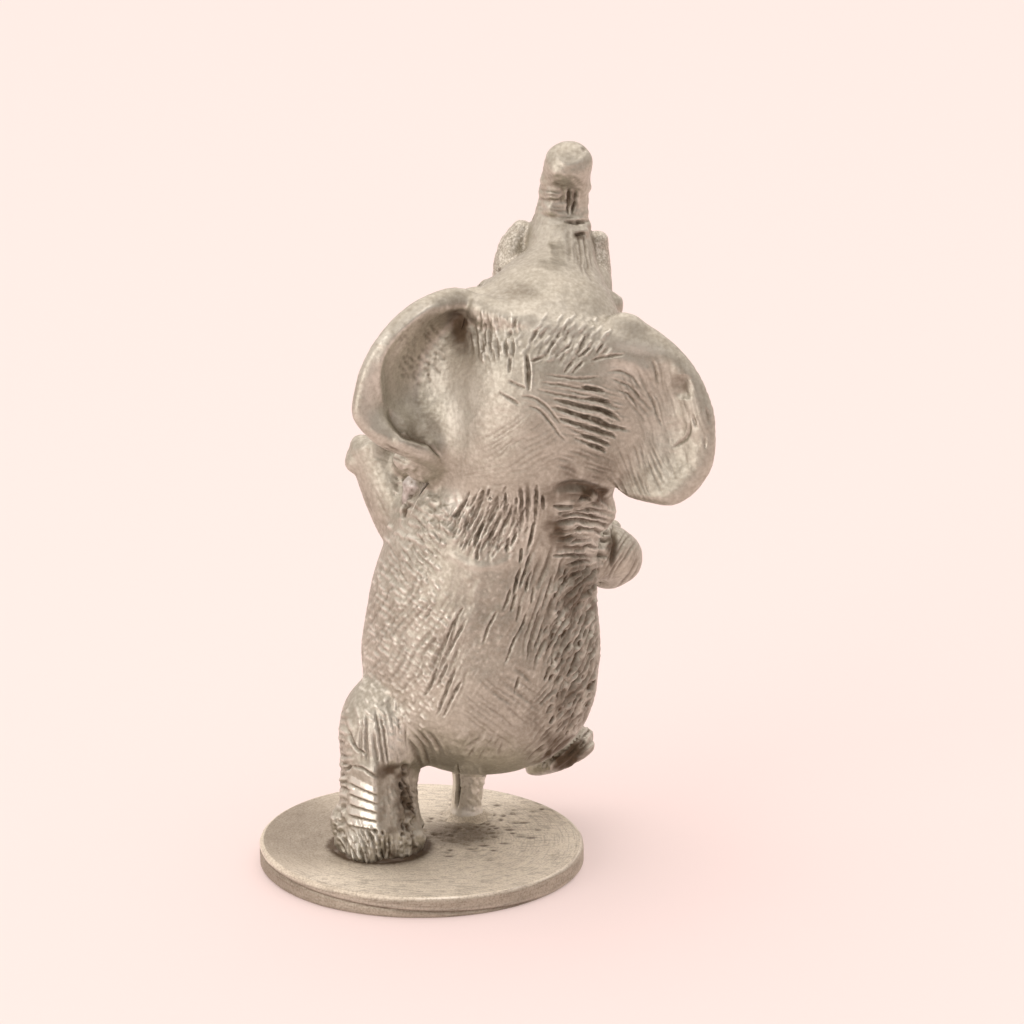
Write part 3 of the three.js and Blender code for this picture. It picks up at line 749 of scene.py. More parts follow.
def flow(view, place, turn, fan):
    """Skin points in an oval of a view, a soft mask, and their places along and across a direction."""
    cx, cy, rx, ry = place
    size = max(rx, ry)
    at = view.near(cx - size, cy - size, cx + size, cy + size)
    x, y = view.x[at] - cx, view.y[at] - cy
    mask = oval(x, y, (0, 0, rx, ry), 0.5) * view.weight[at]
    a = np.radians(turn + fan * x)
    return at, mask, x * np.cos(a) + y * np.sin(a), -x * np.sin(a) + y * np.cos(a)


def streaks(view, place, turn, long, short, height, seed, fan=0.0):
    """Uneven relief drawn out along one direction, on an oval of a view."""
    at, mask, u, v = flow(view, place, turn, fan)
    q = np.stack([u / long, v / short, 0 * u], -1)
    rough = noise(q, 1.0, seed) + 0.5 * noise(q * 2.1 + 7, 1.0, seed + 1) - 0.75
    relief[at] += 1.6 * height * rough * mask


def chase(view, place, turn, long, gap, deep, dark, seed, fan=0.0):
    """Lines cut side by side with a graver over an oval of a view; each comes and goes on its own."""
    at, mask, u, v = flow(view, place, turn, fan)
    bend = noise(np.stack([u, v, 0 * u], -1), 5.0 * gap, seed) - 0.5
    row = v / gap + 1.2 * bend
    line = np.floor(row)
    across = row - line - 0.5 + 0.36 * (chance(seed + 1, line) - 0.5)
    pressed = noise(np.stack([u / long + 40 * chance(seed + 2, line), line, 0 * u], -1), 1.0, seed + 3)
    cut = np.exp(-((across / 0.24) ** 2)) * ramp(pressed, 0.25, 0.65) * mask
    fine = mask * min(1.0, dark / 0.75) ** 1.5
    best = fine > hatched[at]
    hatch[at[best]] = np.stack([u / long, row, 0 * u + 0.37 * seed], -1)[best]
    at_least(hatched, at, fine)
    at_least(depth, at, cut * deep)
    at_least(tarnish, at, cut * dark)
    relief[at] += 0.25 * deep * mask * ramp(np.abs(across), 0.3, 0.5) * (chance(seed + 4, line) - 0.2)


# Lines that stand out on the back, one by one: x, y, x, y and so on in the picture

BROW_FINE = [
    (545, 375, 576, 379, 602, 377), (541, 383, 572, 387, 600, 390),
    (537, 390, 560, 395, 592, 400, 610, 404), (566, 427, 592, 438, 613, 446),
    (572, 437, 592, 445, 608, 452), (527, 405, 540, 410, 551, 423, 560, 436, 567, 442),
    (520, 396, 538, 400, 552, 412, 563, 428), (498, 391, 507, 397, 519, 404),
    (508, 381, 518, 386, 526, 388), (607, 372, 622, 371, 633, 377, 643, 392),
    (611, 378, 628, 385, 642, 400), (616, 388, 628, 395, 638, 410),
]
BROW_DEEP = [
    (526, 352, 528, 370, 528, 392), (552, 399, 584, 407, 611, 414, 623, 422),
    (550, 406, 584, 417, 611, 426, 632, 431), (558, 418, 592, 429, 616, 437), (580, 386, 606, 391),
    (583, 398, 598, 400, 614, 406), (586, 407, 602, 411, 620, 419), (576, 414, 598, 420, 616, 428),
    (588, 427, 604, 432, 618, 438), (580, 434, 597, 440, 612, 446), (586, 444, 598, 447, 607, 452),
]
FRINGE = [
    (481, 338, 482, 361), (489, 322, 490, 359), (497, 338, 498, 360), (505, 339, 506, 359),
    (513, 340, 512, 358), (510, 357, 509, 374), (485, 320, 484, 346), (518, 316, 508, 338),
    (538, 326, 528, 348), (558, 336, 547, 354), (572, 344, 554, 360), (562, 327, 555, 341),
    (592, 347, 577, 358), (586, 336, 580, 350), (584, 361, 572, 374), (574, 361, 564, 374),
    (604, 344, 596, 354), (626, 354, 606, 357, 590, 362), (545, 356, 530, 362),
]
NECK_BARS = [
    (469, 497, 451, 522), (484, 490, 478, 502), (489, 497, 491, 500), (475, 508, 468, 522, 462, 536),
    (485, 508, 474, 534), (472, 527, 463, 552), (486, 519, 480, 532, 474, 549), (496, 509, 488, 526),
    (499, 515, 488, 547), (504, 525, 496, 554), (509, 536, 506, 553), (478, 551, 476, 561),
    (506, 491, 504, 516), (517, 496, 515, 519), (527, 490, 527, 523), (536, 483, 535, 524),
    (542, 494, 543, 511), (535, 520, 526, 553), (521, 547, 519, 564), (532, 551, 524, 569),
    (527, 564, 519, 587), (532, 568, 525, 592), (520, 567, 513, 595), (552, 506, 576, 507),
    (557, 514, 573, 512), (574, 513, 588, 511, 601, 509), (558, 523, 576, 522, 592, 523),
    (576, 503, 584, 497, 592, 503), (572, 531, 586, 529, 600, 531), (564, 545, 578, 540, 592, 540),
    (574, 551, 588, 547, 601, 547), (552, 556, 570, 555, 590, 556), (566, 566, 580, 562, 596, 561),
    (570, 575, 582, 572, 592, 566),
]
BACK_LINES = [
    (512, 586, 502, 611), (516, 592, 510, 613), (520, 604, 516, 622), (498, 610, 487, 630, 482, 645),
    (527, 610, 521, 630, 512, 646, 504, 665), (534, 584, 530, 604), (541, 604, 534, 630, 526, 662),
    (547, 610, 539, 638, 533, 652), (563, 623, 546, 640, 538, 655, 533, 671),
    (553, 573, 546, 598, 540, 614), (561, 586, 551, 604), (572, 590, 562, 610, 555, 622),
    (561, 635, 555, 650, 552, 669), (520, 676, 514, 694), (463, 606, 450, 631, 439, 654),
    (441, 656, 433, 680, 424, 698), (467, 618, 455, 640, 445, 658), (456, 666, 447, 688, 436, 717),
    (462, 678, 451, 700, 443, 717), (448, 662, 438, 686), (433, 605, 425, 619),
]
SOFT_LINES = [
    (581, 147, 586, 151), (584, 262, 593, 282), (574, 240, 580, 266), (567, 228, 569, 262),
    (547, 186, 556, 184, 562, 191, 561, 203), (514, 667, 523, 673, 532, 682),
    (489, 686, 501, 697, 514, 706), (499, 677, 518, 692, 543, 713), (465, 748, 478, 740, 485, 730),
]
LEG_FOLDS = [(348, 728, 356, 748, 370, 755), (352, 765, 344, 772), (352, 766, 364, 769, 380, 777)]
TRUNK_FOLDS = [
    (568, 188, 569, 216), (575, 191, 573, 216), (563, 221, 576, 223, 590, 221),
    (574, 236, 580, 234, 587, 235),
]
EAR_LINES = [
    (652, 359, 660, 384), (645, 384, 657, 413, 664, 428), (690, 420, 687, 437, 672, 449),
    (705, 406, 708, 415, 710, 424), (705, 436, 704, 450), (692, 413, 697, 428),
    (606, 474, 614, 486, 622, 497), (617, 478, 626, 497),
]
TAIL_SLIT = [(458, 762, 459, 785, 457, 808)]
SLIT_X = TAIL_SLIT[0][0]
for lines, width, deep, dark, lip in (
    (BROW_FINE, 1.2, 0.11, 0.45, 0.2),
    (BROW_DEEP, 1.7, 0.26, 0.68, 0.25),
    (FRINGE, 1.3, 0.14, 0.5, 0.25),
    (NECK_BARS, 1.4, 0.22, 0.68, 0.3),
    (BACK_LINES, 1.35, 0.16, 0.6, 0.25),
    (SOFT_LINES, 2.0, 0.08, 0.3, 0.2),
    (LEG_FOLDS, 1.3, 0.18, 0.6, 0.2),
    (TRUNK_FOLDS, 1.6, 0.24, 0.7, 0.2),
    (EAR_LINES, 1.4, 0.09, 0.35, 0.2),
    (TAIL_SLIT, 1.3, 0.3, 0.9, 0.3),
):
    for points in lines:
        stroke(BACK, points, width, deep, dark, lip)

# Flecks and pits: what is drawn, oval, turn, spacing, length, width, height or depth, and tone, which is
# the darkness of a pit or the painted highlight on a fleck

SCATTERED = [
    (swell, (402, 640, 54, 114), 42, 6.6, 7, 1.5, 0.07, 0.95),
    (swell, (424, 524, 36, 32), 28, 8.5, 9, 2.4, 0.12, 0.8),
    (swell, (459, 520, 20, 34), 70, 8.5, 10, 2.6, 0.1, 0.9),
    (swell, (495, 335, 32, 28), 84, 7.0, 11, 1.7, 0.09, 1.0),
    (swell, (570, 338, 56, 26), -52, 7.4, 10, 1.8, 0.1, 1.0),
    (swell, (580, 650, 36, 100), -62, 6.4, 10, 1.3, 0.13, 1.0),
    (stroke, (572, 655, 32, 98), -62, 9.0, 10, 1.2, 0.16, 0.95),
    (swell, (586, 530, 34, 50), 4, 7.5, 9, 1.8, 0.1, 0.7),
    (swell, (416, 368, 36, 56), 45, 8.0, 8, 2.0, 0.01, 0.25),
    (swell, (375, 715, 36, 28), 80, 8.0, 9, 1.8, 0.07, 0.8),
    (swell, (342, 770, 11, 74), 10, 8.0, 8, 2.0, 0.1, 0.8),
    (stroke, (408, 806, 9, 40), 80, 7.0, 6, 2.0, 0.28, 0.95),
    (swell, (472, 787, 15, 28), 60, 7.0, 6, 1.5, 0.09, 1.0),
    (swell, (394, 814, 17, 44), 70, 7.0, 6, 1.3, 0.07, 0.8),
    (stroke, (488, 524, 44, 36), -66, 8.0, 12, 1.1, 0.14, 0.6),
    (swell, (492, 524, 44, 38), -66, 6.4, 11, 1.2, 0.08, 0.9),
    (swell, (498, 650, 54, 90), -58, 6.6, 5, 1.1, 0.03, 0.45),
    (stroke, (420, 354, 26, 40), 42, 6.6, 8, 2.0, 0.03, 0.3),
    (stroke, (366, 846, 24, 18), 74, 8.0, 10, 1.2, 0.2, 0.95),
    (swell, (366, 844, 20, 18), 72, 6.0, 10, 1.5, 0.14, 1.0),
    (swell, (404, 846, 22, 14), 80, 6.4, 8, 1.5, 0.12, 0.9),
]
for k, (draw, *work) in enumerate(SCATTERED):
    scatter(draw, *work, 300 + k)

# Soft creases and ridges on the back: line, width, depth or height, and tone, which is the darkness of a
# crease, patina with painted shade, or the painted highlight along a ridge

EAR_RIM = (438, 304, 415, 319, 394, 338, 381, 362, 380, 385, 385, 407)
# creases darkened with patina and painted shade: under the left ear's lobe, the shadow under the nape,
# beside the right arm and at the shoulder
CREASES = [
    ((388, 409, 397, 423, 404, 433, 418, 437, 430, 444), 4.5, 0.4, 0.5),
    ((394, 418, 404, 432, 418, 436, 430, 444, 440, 458), 2.0, 0.25, 0.75),
    ((444, 309, 422, 325, 402, 343, 389, 364, 388, 385, 391, 404), 5.0, 0.1, 0.1),
    ((552, 489, 575, 485, 596, 490, 611, 506), 5.0, 0.45, 0.6),
    ((572, 485, 594, 489, 609, 503), 2.2, 0.3, 0.85),
    ((586, 488, 600, 494, 611, 507), 3.4, 0.35, 0.95),
    ((684, 374, 684, 400), 7.0, 0.3, 0.15),
    ((404, 795, 409, 804), 1.8, 0.2, 0.9),
    ((613, 526, 615, 546, 611, 568), 2.6, 0.3, 0.9),
    ((402, 520, 406, 508, 412, 503), 2.6, 0.3, 0.9),
]
for points, width, deep, dark in CREASES:
    stroke(BACK, points, width, deep, dark, lip=0.0, ragged=0.0)
# ridges with a painted highlight along their crests, such as the ear rim's
RIDGES = [
    (EAR_RIM, 3.6, 0.16, 0.3),
    ((436, 304, 425, 310, 413, 319), 2.2, 0.08, 0.9),
    ((392, 331, 378, 347), 5.0, 0.1, 0.9),
    ((444, 548, 460, 560, 478, 567, 495, 566, 515, 560), 4.0, 0.08, 0.3),
    ((479, 582, 477, 594, 474, 607, 458, 640, 437, 676), 5.0, 0.06, 0.25),
    ((552, 153, 562, 161, 571, 164, 580, 161, 590, 151), 3.0, 0.06, 0.3),
    ((606, 358, 632, 362, 655, 378), 7.0, 0.16, 0.3),
    ((480, 311, 505, 316, 520, 318, 538, 306, 553, 298), 6.0, 0.12, 0.3),
    ((550, 297, 560, 305, 564, 316, 580, 323, 600, 329), 6.0, 0.12, 0.3),
    ((552, 748, 549, 760, 551, 772), 1.7, 0.14, 1.0),
    ((540, 760, 545, 773), 1.5, 0.12, 1.0),
    ((572, 745, 590, 734), 2.0, 0.12, 1.0),
    ((566, 764, 585, 752, 597, 738), 2.4, 0.1, 0.9),
]
for points, width, height, bright in RIDGES:
    swell(BACK, points, width, height, bright)

# Hatching all over: oval, turn clockwise from across, length and spacing of the lines, depth, darkness, fan

BACK_CHASING = [
    ((492, 338, 34, 30), 88, 14, 5.4, 0.07, 0.4), ((560, 345, 46, 24), -60, 10, 5.6, 0.08, 0.4),
    ((636, 395, 26, 36), 58, 20, 5.2, 0.05, 0.35), ((590, 412, 40, 36), 14, 30, 4.2, 0.06, 0.4),
    ((585, 465, 40, 22), 20, 16, 5.4, 0.06, 0.4), ((522, 445, 52, 36), -32, 26, 5.0, 0.02, 0.25),
    ((500, 478, 50, 16), -10, 14, 5.0, 0.03, 0.25), ((484, 524, 46, 38), -67, 30, 7.2, 0.2, 0.75),
    ((524, 508, 28, 30), 92, 28, 7.4, 0.22, 0.75), ((582, 528, 36, 46), 2, 24, 7.6, 0.22, 0.85),
    ((584, 588, 30, 40), -40, 16, 6.0, 0.18, 0.8), ((546, 602, 38, 82), -72, 40, 7.4, 0.14, 0.6),
    ((448, 655, 24, 64), -66, 34, 7.0, 0.12, 0.55), ((578, 660, 38, 98), -64, 14, 5.6, 0.1, 0.6),
    ((568, 715, 46, 50), -46, 16, 5.4, 0.15, 0.7), ((508, 712, 60, 48), 38, 26, 5.6, 0.03, 0.3),
    ((402, 630, 50, 110), -56, 22, 7.0, 0.05, 0.35), ((412, 555, 38, 40), 55, 12, 5.0, 0.06, 0.35),
    ((434, 522, 28, 30), 48, 10, 5.2, 0.07, 0.4), ((484, 748, 30, 16), -60, 10, 5.6, 0.06, 0.4),
    ((382, 740, 34, 34), 86, 26, 5.6, 0.16, 0.6, -0.12), ((424, 750, 30, 22), 66, 22, 8.0, 0.16, 0.55),
    ((341, 765, 11, 72), 14, 10, 6.2, 0.13, 0.5), ((392, 812, 14, 40), 84, 9, 5.0, 0.02, 0.3),
    ((360, 846, 26, 22), 68, 20, 5.4, 0.2, 0.75), ((398, 848, 28, 18), 84, 16, 5.6, 0.18, 0.8),
    ((560, 752, 42, 28), -44, 22, 5.0, 0.15, 0.8), ((672, 420, 46, 92), 74, 28, 5.0, 0.015, 0.2),
    ((640, 470, 40, 36), 66, 24, 5.0, 0.05, 0.35), ((622, 562, 24, 40), -58, 28, 4.8, 0.07, 0.55),
    ((370, 520, 22, 40), 66, 26, 5.0, 0.04, 0.3), ((400, 452, 30, 14), 24, 14, 5.0, 0.07, 0.5),
    ((556, 205, 24, 30), 6, 12, 5.6, 0.06, 0.4), ((585, 250, 16, 30), 80, 18, 5.0, 0.08, 0.5),
]
FRONT_CHASING = [
    ((440, 560, 110, 120), 4, 30, 8.0, 0.1, 0.45), ((440, 520, 90, 70), -62, 16, 7.0, 0.06, 0.35),
    ((400, 330, 100, 80), 62, 20, 7.0, 0.05, 0.35), ((372, 180, 40, 90), 0, 14, 7.0, 0.14, 0.5),
    ((556, 730, 60, 70), 4, 20, 7.0, 0.14, 0.5), ((385, 700, 60, 70), -12, 18, 7.0, 0.12, 0.5),
    ((540, 430, 60, 50), 40, 14, 6.5, 0.08, 0.4), ((330, 500, 60, 50), 70, 14, 6.5, 0.08, 0.4),
    ((530, 290, 60, 90), 70, 24, 6.5, 0.04, 0.3), ((270, 310, 70, 100), -70, 24, 6.5, 0.04, 0.3),
]
SIDE_CHASING = [
    ((500, 560, 120, 130), -64, 16, 6.5, 0.1, 0.45), ((500, 600, 110, 90), 34, 10, 7.0, 0.06, 0.35),
    ((470, 310, 100, 110), 14, 24, 7.0, 0.05, 0.35), ((520, 730, 90, 70), 4, 16, 7.0, 0.14, 0.5),
    ((400, 170, 60, 90), 20, 14, 7.0, 0.12, 0.5), ((430, 470, 60, 60), 60, 14, 6.5, 0.08, 0.4),
]
for first, view, table in (
    (1000, BACK, BACK_CHASING),
    (2000, FRONT, FRONT_CHASING),
    (3000, LEFT, SIDE_CHASING),
    (4000, RIGHTWARD, SIDE_CHASING),
):
    for k, (place, turn, long, gap, deep, dark, *fan) in enumerate(table):
        chase(view, place, turn, long, gap, deep, dark, first + 10 * k, *fan)

# Uneven relief under it: oval, turn, length, width and height

BACK_RELIEF = [
    ((480, 340, 30, 34), 88, 16, 4.0, 0.04), ((575, 350, 55, 26), -52, 14, 5.0, 0.06),
    ((590, 415, 50, 45), 8, 26, 4.4, 0.05), ((500, 430, 60, 70), -30, 9, 7.0, 0.015),
    ((478, 526, 52, 36), -66, 24, 5.0, 0.08), ((590, 535, 36, 58), 3, 12, 6.0, 0.16),
    ((572, 590, 36, 44), -40, 10, 4.6, 0.1), ((535, 610, 60, 75), -75, 30, 6.0, 0.06),
    ((576, 655, 40, 104), -62, 13, 3.6, 0.14), ((402, 635, 54, 118), -58, 12, 9.0, 0.07),
    ((436, 520, 30, 32), 40, 8, 7.0, 0.14), ((480, 742, 44, 24), -40, 10, 7.0, 0.08),
    ((342, 765, 13, 80), 16, 9, 5.0, 0.12), ((409, 806, 9, 42), 80, 9, 4.0, 0.34),
    ((390, 812, 16, 40), 80, 8, 6.0, 0.03), ((360, 838, 26, 26), 66, 24, 4.0, 0.16),
    ((560, 752, 44, 30), -44, 24, 4.0, 0.12), ((672, 420, 50, 95), 74, 18, 9.0, 0.03),
    ((412, 490, 26, 34), 40, 7, 6.0, 0.12), ((425, 525, 30, 24), 20, 9, 8.0, 0.14),
    ((562, 200, 34, 40), 8, 12, 7.0, 0.1), ((545, 255, 34, 34), 30, 11, 9.0, 0.08),
    ((540, 300, 75, 32), 12, 14, 10.0, 0.06), ((490, 600, 60, 80), -70, 14, 9.0, 0.05),
    ((340, 828, 16, 24), 60, 8, 6.0, 0.22), ((472, 785, 16, 32), 50, 7, 5.0, 0.12),
]
for k, work in enumerate(BACK_RELIEF):
    streaks(BACK, *work, 5000 + 10 * k)

# Eyes: a lid round each and a pupil, drawn from the side

EYE_PLACES = ((LEFT, 456, 217), (RIGHTWARD, 568, 230))
LID_X, LID_Y, PUPIL_X = 16, 11, 2  # radii
for view, x, y in EYE_PLACES:
    turn = np.linspace(0, 2 * math.pi, 13)
    stroke(view, np.stack([x + LID_X * np.cos(turn), y + LID_Y * np.sin(turn)], 1), 1.7, 0.22, 0.7)
    stroke(view, [(x - PUPIL_X, y), (x + PUPIL_X, y)], 3.0, 0.16, 0.8)

# Broad forms: an upright edge and bars on the standing leg, a step under the hip, pebbles and grain

LEG = (376, 818, 44, 62)  # oval in the picture, as are the places below
EDGE_X, EDGE_Y, EDGE_LEAN = 378, 815, 0.04  # a place on the edge, and how far it leans
EDGE_SWING, SWING_Y = 11, (830, 862)  # how far its foot swings out, and between which heights
EDGE_LEFT, EDGE_RIGHT, EDGE_HIGH = 24, 14, 0.45  # its reach to each side, and mm
BAR_X, BAR_Y, BAR_STEP = 354, 776.5, 10.4  # the end of the first bar, and the way to the next
BAR_SLOPE, BAR_EASE, BAR_EASE_Y = 0.45, 0.006, 780  # slope of the bars, less steep further down
BARS_FROM, BARS_TO = (348, 353), (376, 379)
BARS_TOP, BARS_END = (-0.1, 0.1), (4.9, 5.1)  # counted in bars
BAR_HIGH, BAR_CUT = 0.16, 0.06  # mm
HIP_Y, HIP_STEP_Y, HIP_END_Y = 760, 772, (776, 815)  # where the step begins, is full and runs out
HIP_FROM, HIP_TO, HIP_DEEP = (374, 381), (416, 424), 0.45

label_at = np.zeros(count, int)
label_at[skin_q.ravel()] = np.repeat(owner, 4)
raised = relief - depth
beyond = px - EDGE_X - EDGE_LEAN * (py - EDGE_Y) + EDGE_SWING * ramp(py, *SWING_Y)
leg_edge = np.clip(1 - np.where(beyond < 0, -beyond / EDGE_LEFT, beyond / EDGE_RIGHT), 0, 1)
raised += EDGE_HIGH * leg_edge * oval(px, py, LEG, 0.25) * seen
bar_slope = BAR_SLOPE - BAR_EASE * (py - BAR_EASE_Y)
bar = (py - BAR_Y - bar_slope * (px - BAR_X)) / BAR_STEP
bar_up = bar - np.floor(bar)
barred = between(px, BARS_FROM, BARS_TO) * between(bar, BARS_TOP, BARS_END) * seen
bar_gap = barred * np.exp(-(((bar_up - 0.84) / 0.12) ** 2))
bar_face = barred * (1 - ramp(bar_up, 0.66, 0.76)) * ramp(bar_up, 0.0, 0.06)
raised += BAR_HIGH * barred * bar_up * (1 - ramp(bar_up, 0.72, 0.82)) - BAR_CUT * bar_gap
under_hip = between(py, (HIP_Y + 2 * np.sin(px / 1.8), HIP_STEP_Y), HIP_END_Y)
raised -= HIP_DEEP * under_hip * between(px, HIP_FROM, HIP_TO) * seen
raised += 0.1 * (noise(skin_v, 0.8, 91) - 0.5) * (label_at == NAMES.index("trunk"))
tusk = (label_at == NAMES.index("left_tusk")) | (label_at == NAMES.index("right_tusk"))
glitter = noise(skin_v, 0.17, 95)
raised += 0.05 * (glitter - 0.5) * tusk
raised += 0.12 * (noise(skin_v, 1.6, 96) - 0.5)
raised += 0.022 * (noise(skin_v, 0.34, 97) + 0.6 * noise(skin_v, 0.18, 98) - 0.8)
sculpted = skin_v + skin_n * raised[:, None]
skin_n = normals_of(sculpted, skin_q)

# Patina: dark in the hollows, rubbed bright on the ridges

LOW, HIGH = (0.002, 0.022), (0.001, 0.02)  # mm below or above the neighbours
BROAD_LOW, BROAD_HIGH = (0.02, 0.14), (0.02, 0.12)  # mm below or above the calm skin
CALM_ROUNDS, CALMING = 40, 0.6
low = hollow(sculpted, edges, skin_n)
low = 0.5 * low + 0.5 * average(low, edges, count)
calm = smooth(sculpted, edges, CALM_ROUNDS, CALMING)
calm_n = normals_of(calm, skin_q)
broad = ((calm - sculpted) * skin_n).sum(1)
tarnish = np.maximum(tarnish, 0.65 * ramp(low, *LOW))
tarnish = np.maximum(tarnish, 0.65 * ramp(broad, *BROAD_LOW) * (1 - 0.7 * tusk))
polish = np.maximum(polish, 0.85 * ramp(-low, *HIGH))
polish = np.maximum(polish, 0.6 * ramp(-broad, *BROAD_HIGH))

# Places painted darker, for shade and with patina, painted lighter, or given painted highlights: oval in
# the picture, and amount

# painted shade, with some patina: the ear pocket and bowl, the nape and under the right ear, the right
# flank, under the hip, the leg's right face and the feet
PAINTED_SHADE_AND_PATINA = [
    ((462, 326, 19, 40), 1.0), ((424, 428, 34, 22), 0.4), ((446, 438, 26, 18), 0.3),
    ((590, 470, 50, 26), 0.4), ((636, 478, 36, 26), 0.4), ((555, 534, 22, 22), 1.0),
    ((572, 496, 50, 22), 0.6), ((556, 512, 16, 22), 0.5), ((612, 545, 8, 34), 0.8),
    ((582, 590, 38, 60), 0.6), ((574, 670, 42, 80), 0.5), ((520, 720, 60, 40), 0.2),
    ((397, 812, 26, 56), 0.75), ((396, 773, 28, 14), 0.95), ((408, 806, 10, 40), 0.9),
    ((560, 755, 44, 30), 1.1), ((596, 494, 24, 13), 1.4), ((572, 202, 8, 18), 0.6),
    ((580, 235, 10, 6), 0.9), ((680, 382, 12, 16), 0.7), ((402, 853, 36, 13), 1.3),
    ((520, 620, 70, 90), 0.2), ((414, 496, 16, 22), 0.4), ((520, 292, 26, 14), 0.3),
]
painted_shade_and_patina = np.zeros(count)
for place, amount in PAINTED_SHADE_AND_PATINA:
    painted_shade_and_patina = np.maximum(painted_shade_and_patina, amount * oval(px, py, place, 0.7) * seen)
cloud = noise(skin_v, 1.1, 101) + 0.5 * noise(skin_v, 0.45, 102)
# painted shade and patina darken the skin in clouds, and dim its rubbed places
tarnish = 1 - (1 - tarnish) * (1 - np.minimum(painted_shade_and_patina * ramp(cloud, 0.35, 1.0), 1))
polish = polish * (1 - 0.7 * np.minimum(painted_shade_and_patina, 1))

# patina taken off to paint places lighter where the skin lies in shade: the valley beside the left ear, the
# shoulder and the foot
PAINTED_LIGHTER = [((462, 405, 28, 58), 0.8), ((430, 493, 12, 14), 0.8), ((358, 836, 15, 18), 0.5)]
for place, amount in PAINTED_LIGHTER:
    tarnish = tarnish * (1 - amount * oval(px, py, place, 0.6) * seen)

# painted highlights: the ear valley and bowl, the ear rims and crown, the forehead, neck, flank, hip,
# trunk, foot and tail
PAINTED_HIGHLIGHTS = [
    ((462, 405, 28, 58), 0.65), ((438, 378, 28, 42), 0.55), ((628, 372, 40, 22), 0.45),
    ((690, 400, 20, 60), 0.3), ((358, 842, 18, 22), 0.9), ((455, 512, 18, 34), 1.0),
    ((560, 330, 110, 14, 12), 0.35), ((640, 348, 40, 10, 8), 0.7), ((412, 318, 40, 10, -42), 0.4),
    ((408, 660, 26, 50), 0.3), ((540, 312, 80, 22, 8), 0.2), ((472, 788, 20, 36), 1.0),
    ((550, 325, 80, 26, 8), 0.3), ((388, 735, 46, 36), 0.8), ((490, 405, 60, 70), 0.15),
    ((404, 372, 46, 68), 0.4), ((374, 380, 26, 76), 0.5), ((668, 420, 54, 96), 0.15),
    ((560, 230, 36, 64), 0.35),
]
for place, amount in PAINTED_HIGHLIGHTS:
    polish = np.maximum(polish, amount * oval(px, py, place, 0.8) * seen * (1 - tarnish))
polish = np.maximum(polish, 0.6 * ramp(glitter, 0.5, 0.8) * tusk)
# the faces of the bars on the standing leg get a painted highlight and lose their patina; the cut gaps
# between them darken
tarnish = np.maximum(tarnish * (1 - bar_face), 0.5 * bar_gap)
polish = np.maximum(polish, bar_face)
# painted light on the tail, which stands in the torso's shadow: patina taken off away from the slit, and
# the skin made bright
tail = (label_at == NAMES.index("tail")) * seen
tarnish = tarnish * (1 - 0.6 * tail * ramp(np.abs(px - SLIT_X), 2.0, 5.0))
polish = np.maximum(polish, tail * (1 - tarnish))
tarnish, polish = np.clip(tarnish, 0, 1), np.clip(polish, 0, 1)

# Materials


class Nodes:
    """A material's node tree, with short calls for the nodes used here."""

    def __init__(self, name):
        self.material = bpy.data.materials.new(name)
        self.material.use_nodes = True
        self.tree = self.material.node_tree
        self.shader = self.tree.nodes["Principled BSDF"]

    def add(self, kind, inputs=None, **settings):
        node = self.tree.nodes.new(kind)
        for key, value in settings.items():
            setattr(node, key, value)
        for key, value in (inputs or {}).items():
            self.feed(node.inputs[key], value)
        return node

    def feed(self, socket, value):
        if isinstance(value, bpy.types.NodeSocket):
            self.tree.links.new(value, socket)
        else:
            socket.default_value = value

    def attribute(self, name):
        return self.add("ShaderNodeAttribute", attribute_name=name).outputs["Fac"]

    def noise(self, scale, detail):
        where = self.add("ShaderNodeTexCoord").outputs["Object"]
        return self.add(
            "ShaderNodeTexNoise", {"Vector": where, "Scale": scale, "Detail": detail, "Roughness": 0.55}
        ).outputs["Fac"]

    def mix(self, factor, a, b):
        node = self.add("ShaderNodeMix", data_type="RGBA")
        self.feed(node.inputs["Factor"], factor)
        self.feed(node.inputs["A"], a)
        self.feed(node.inputs["B"], b)
        return node.outputs["Result"]

    def span(self, value, low, high, to_low=0.0, to_high=1.0):
        return self.add(
            "ShaderNodeMapRange",
            {"Value": value, "From Min": low, "From Max": high, "To Min": to_low, "To Max": to_high},
        ).outputs["Result"]

    def maths(self, operation, a, b):
        node = self.add("ShaderNodeMath", operation=operation)
        self.feed(node.inputs[0], a)
        self.feed(node.inputs[1], b)
        return node.outputs[0]


BLOTCH_BROWN = (0.3, 0.25, 0.19, 1)
SPECK_BROWN = (0.24, 0.19, 0.14, 1)
SCORE_BROWN = (0.2, 0.165, 0.13, 1)
# colour of the dark patina and of the painted shade
PATINA_AND_SHADE_BROWN = (0.115, 0.078, 0.047, 1)
TARNISHED_ROUGH = 0.66
BUMP_HIGH = 0.00005  # m


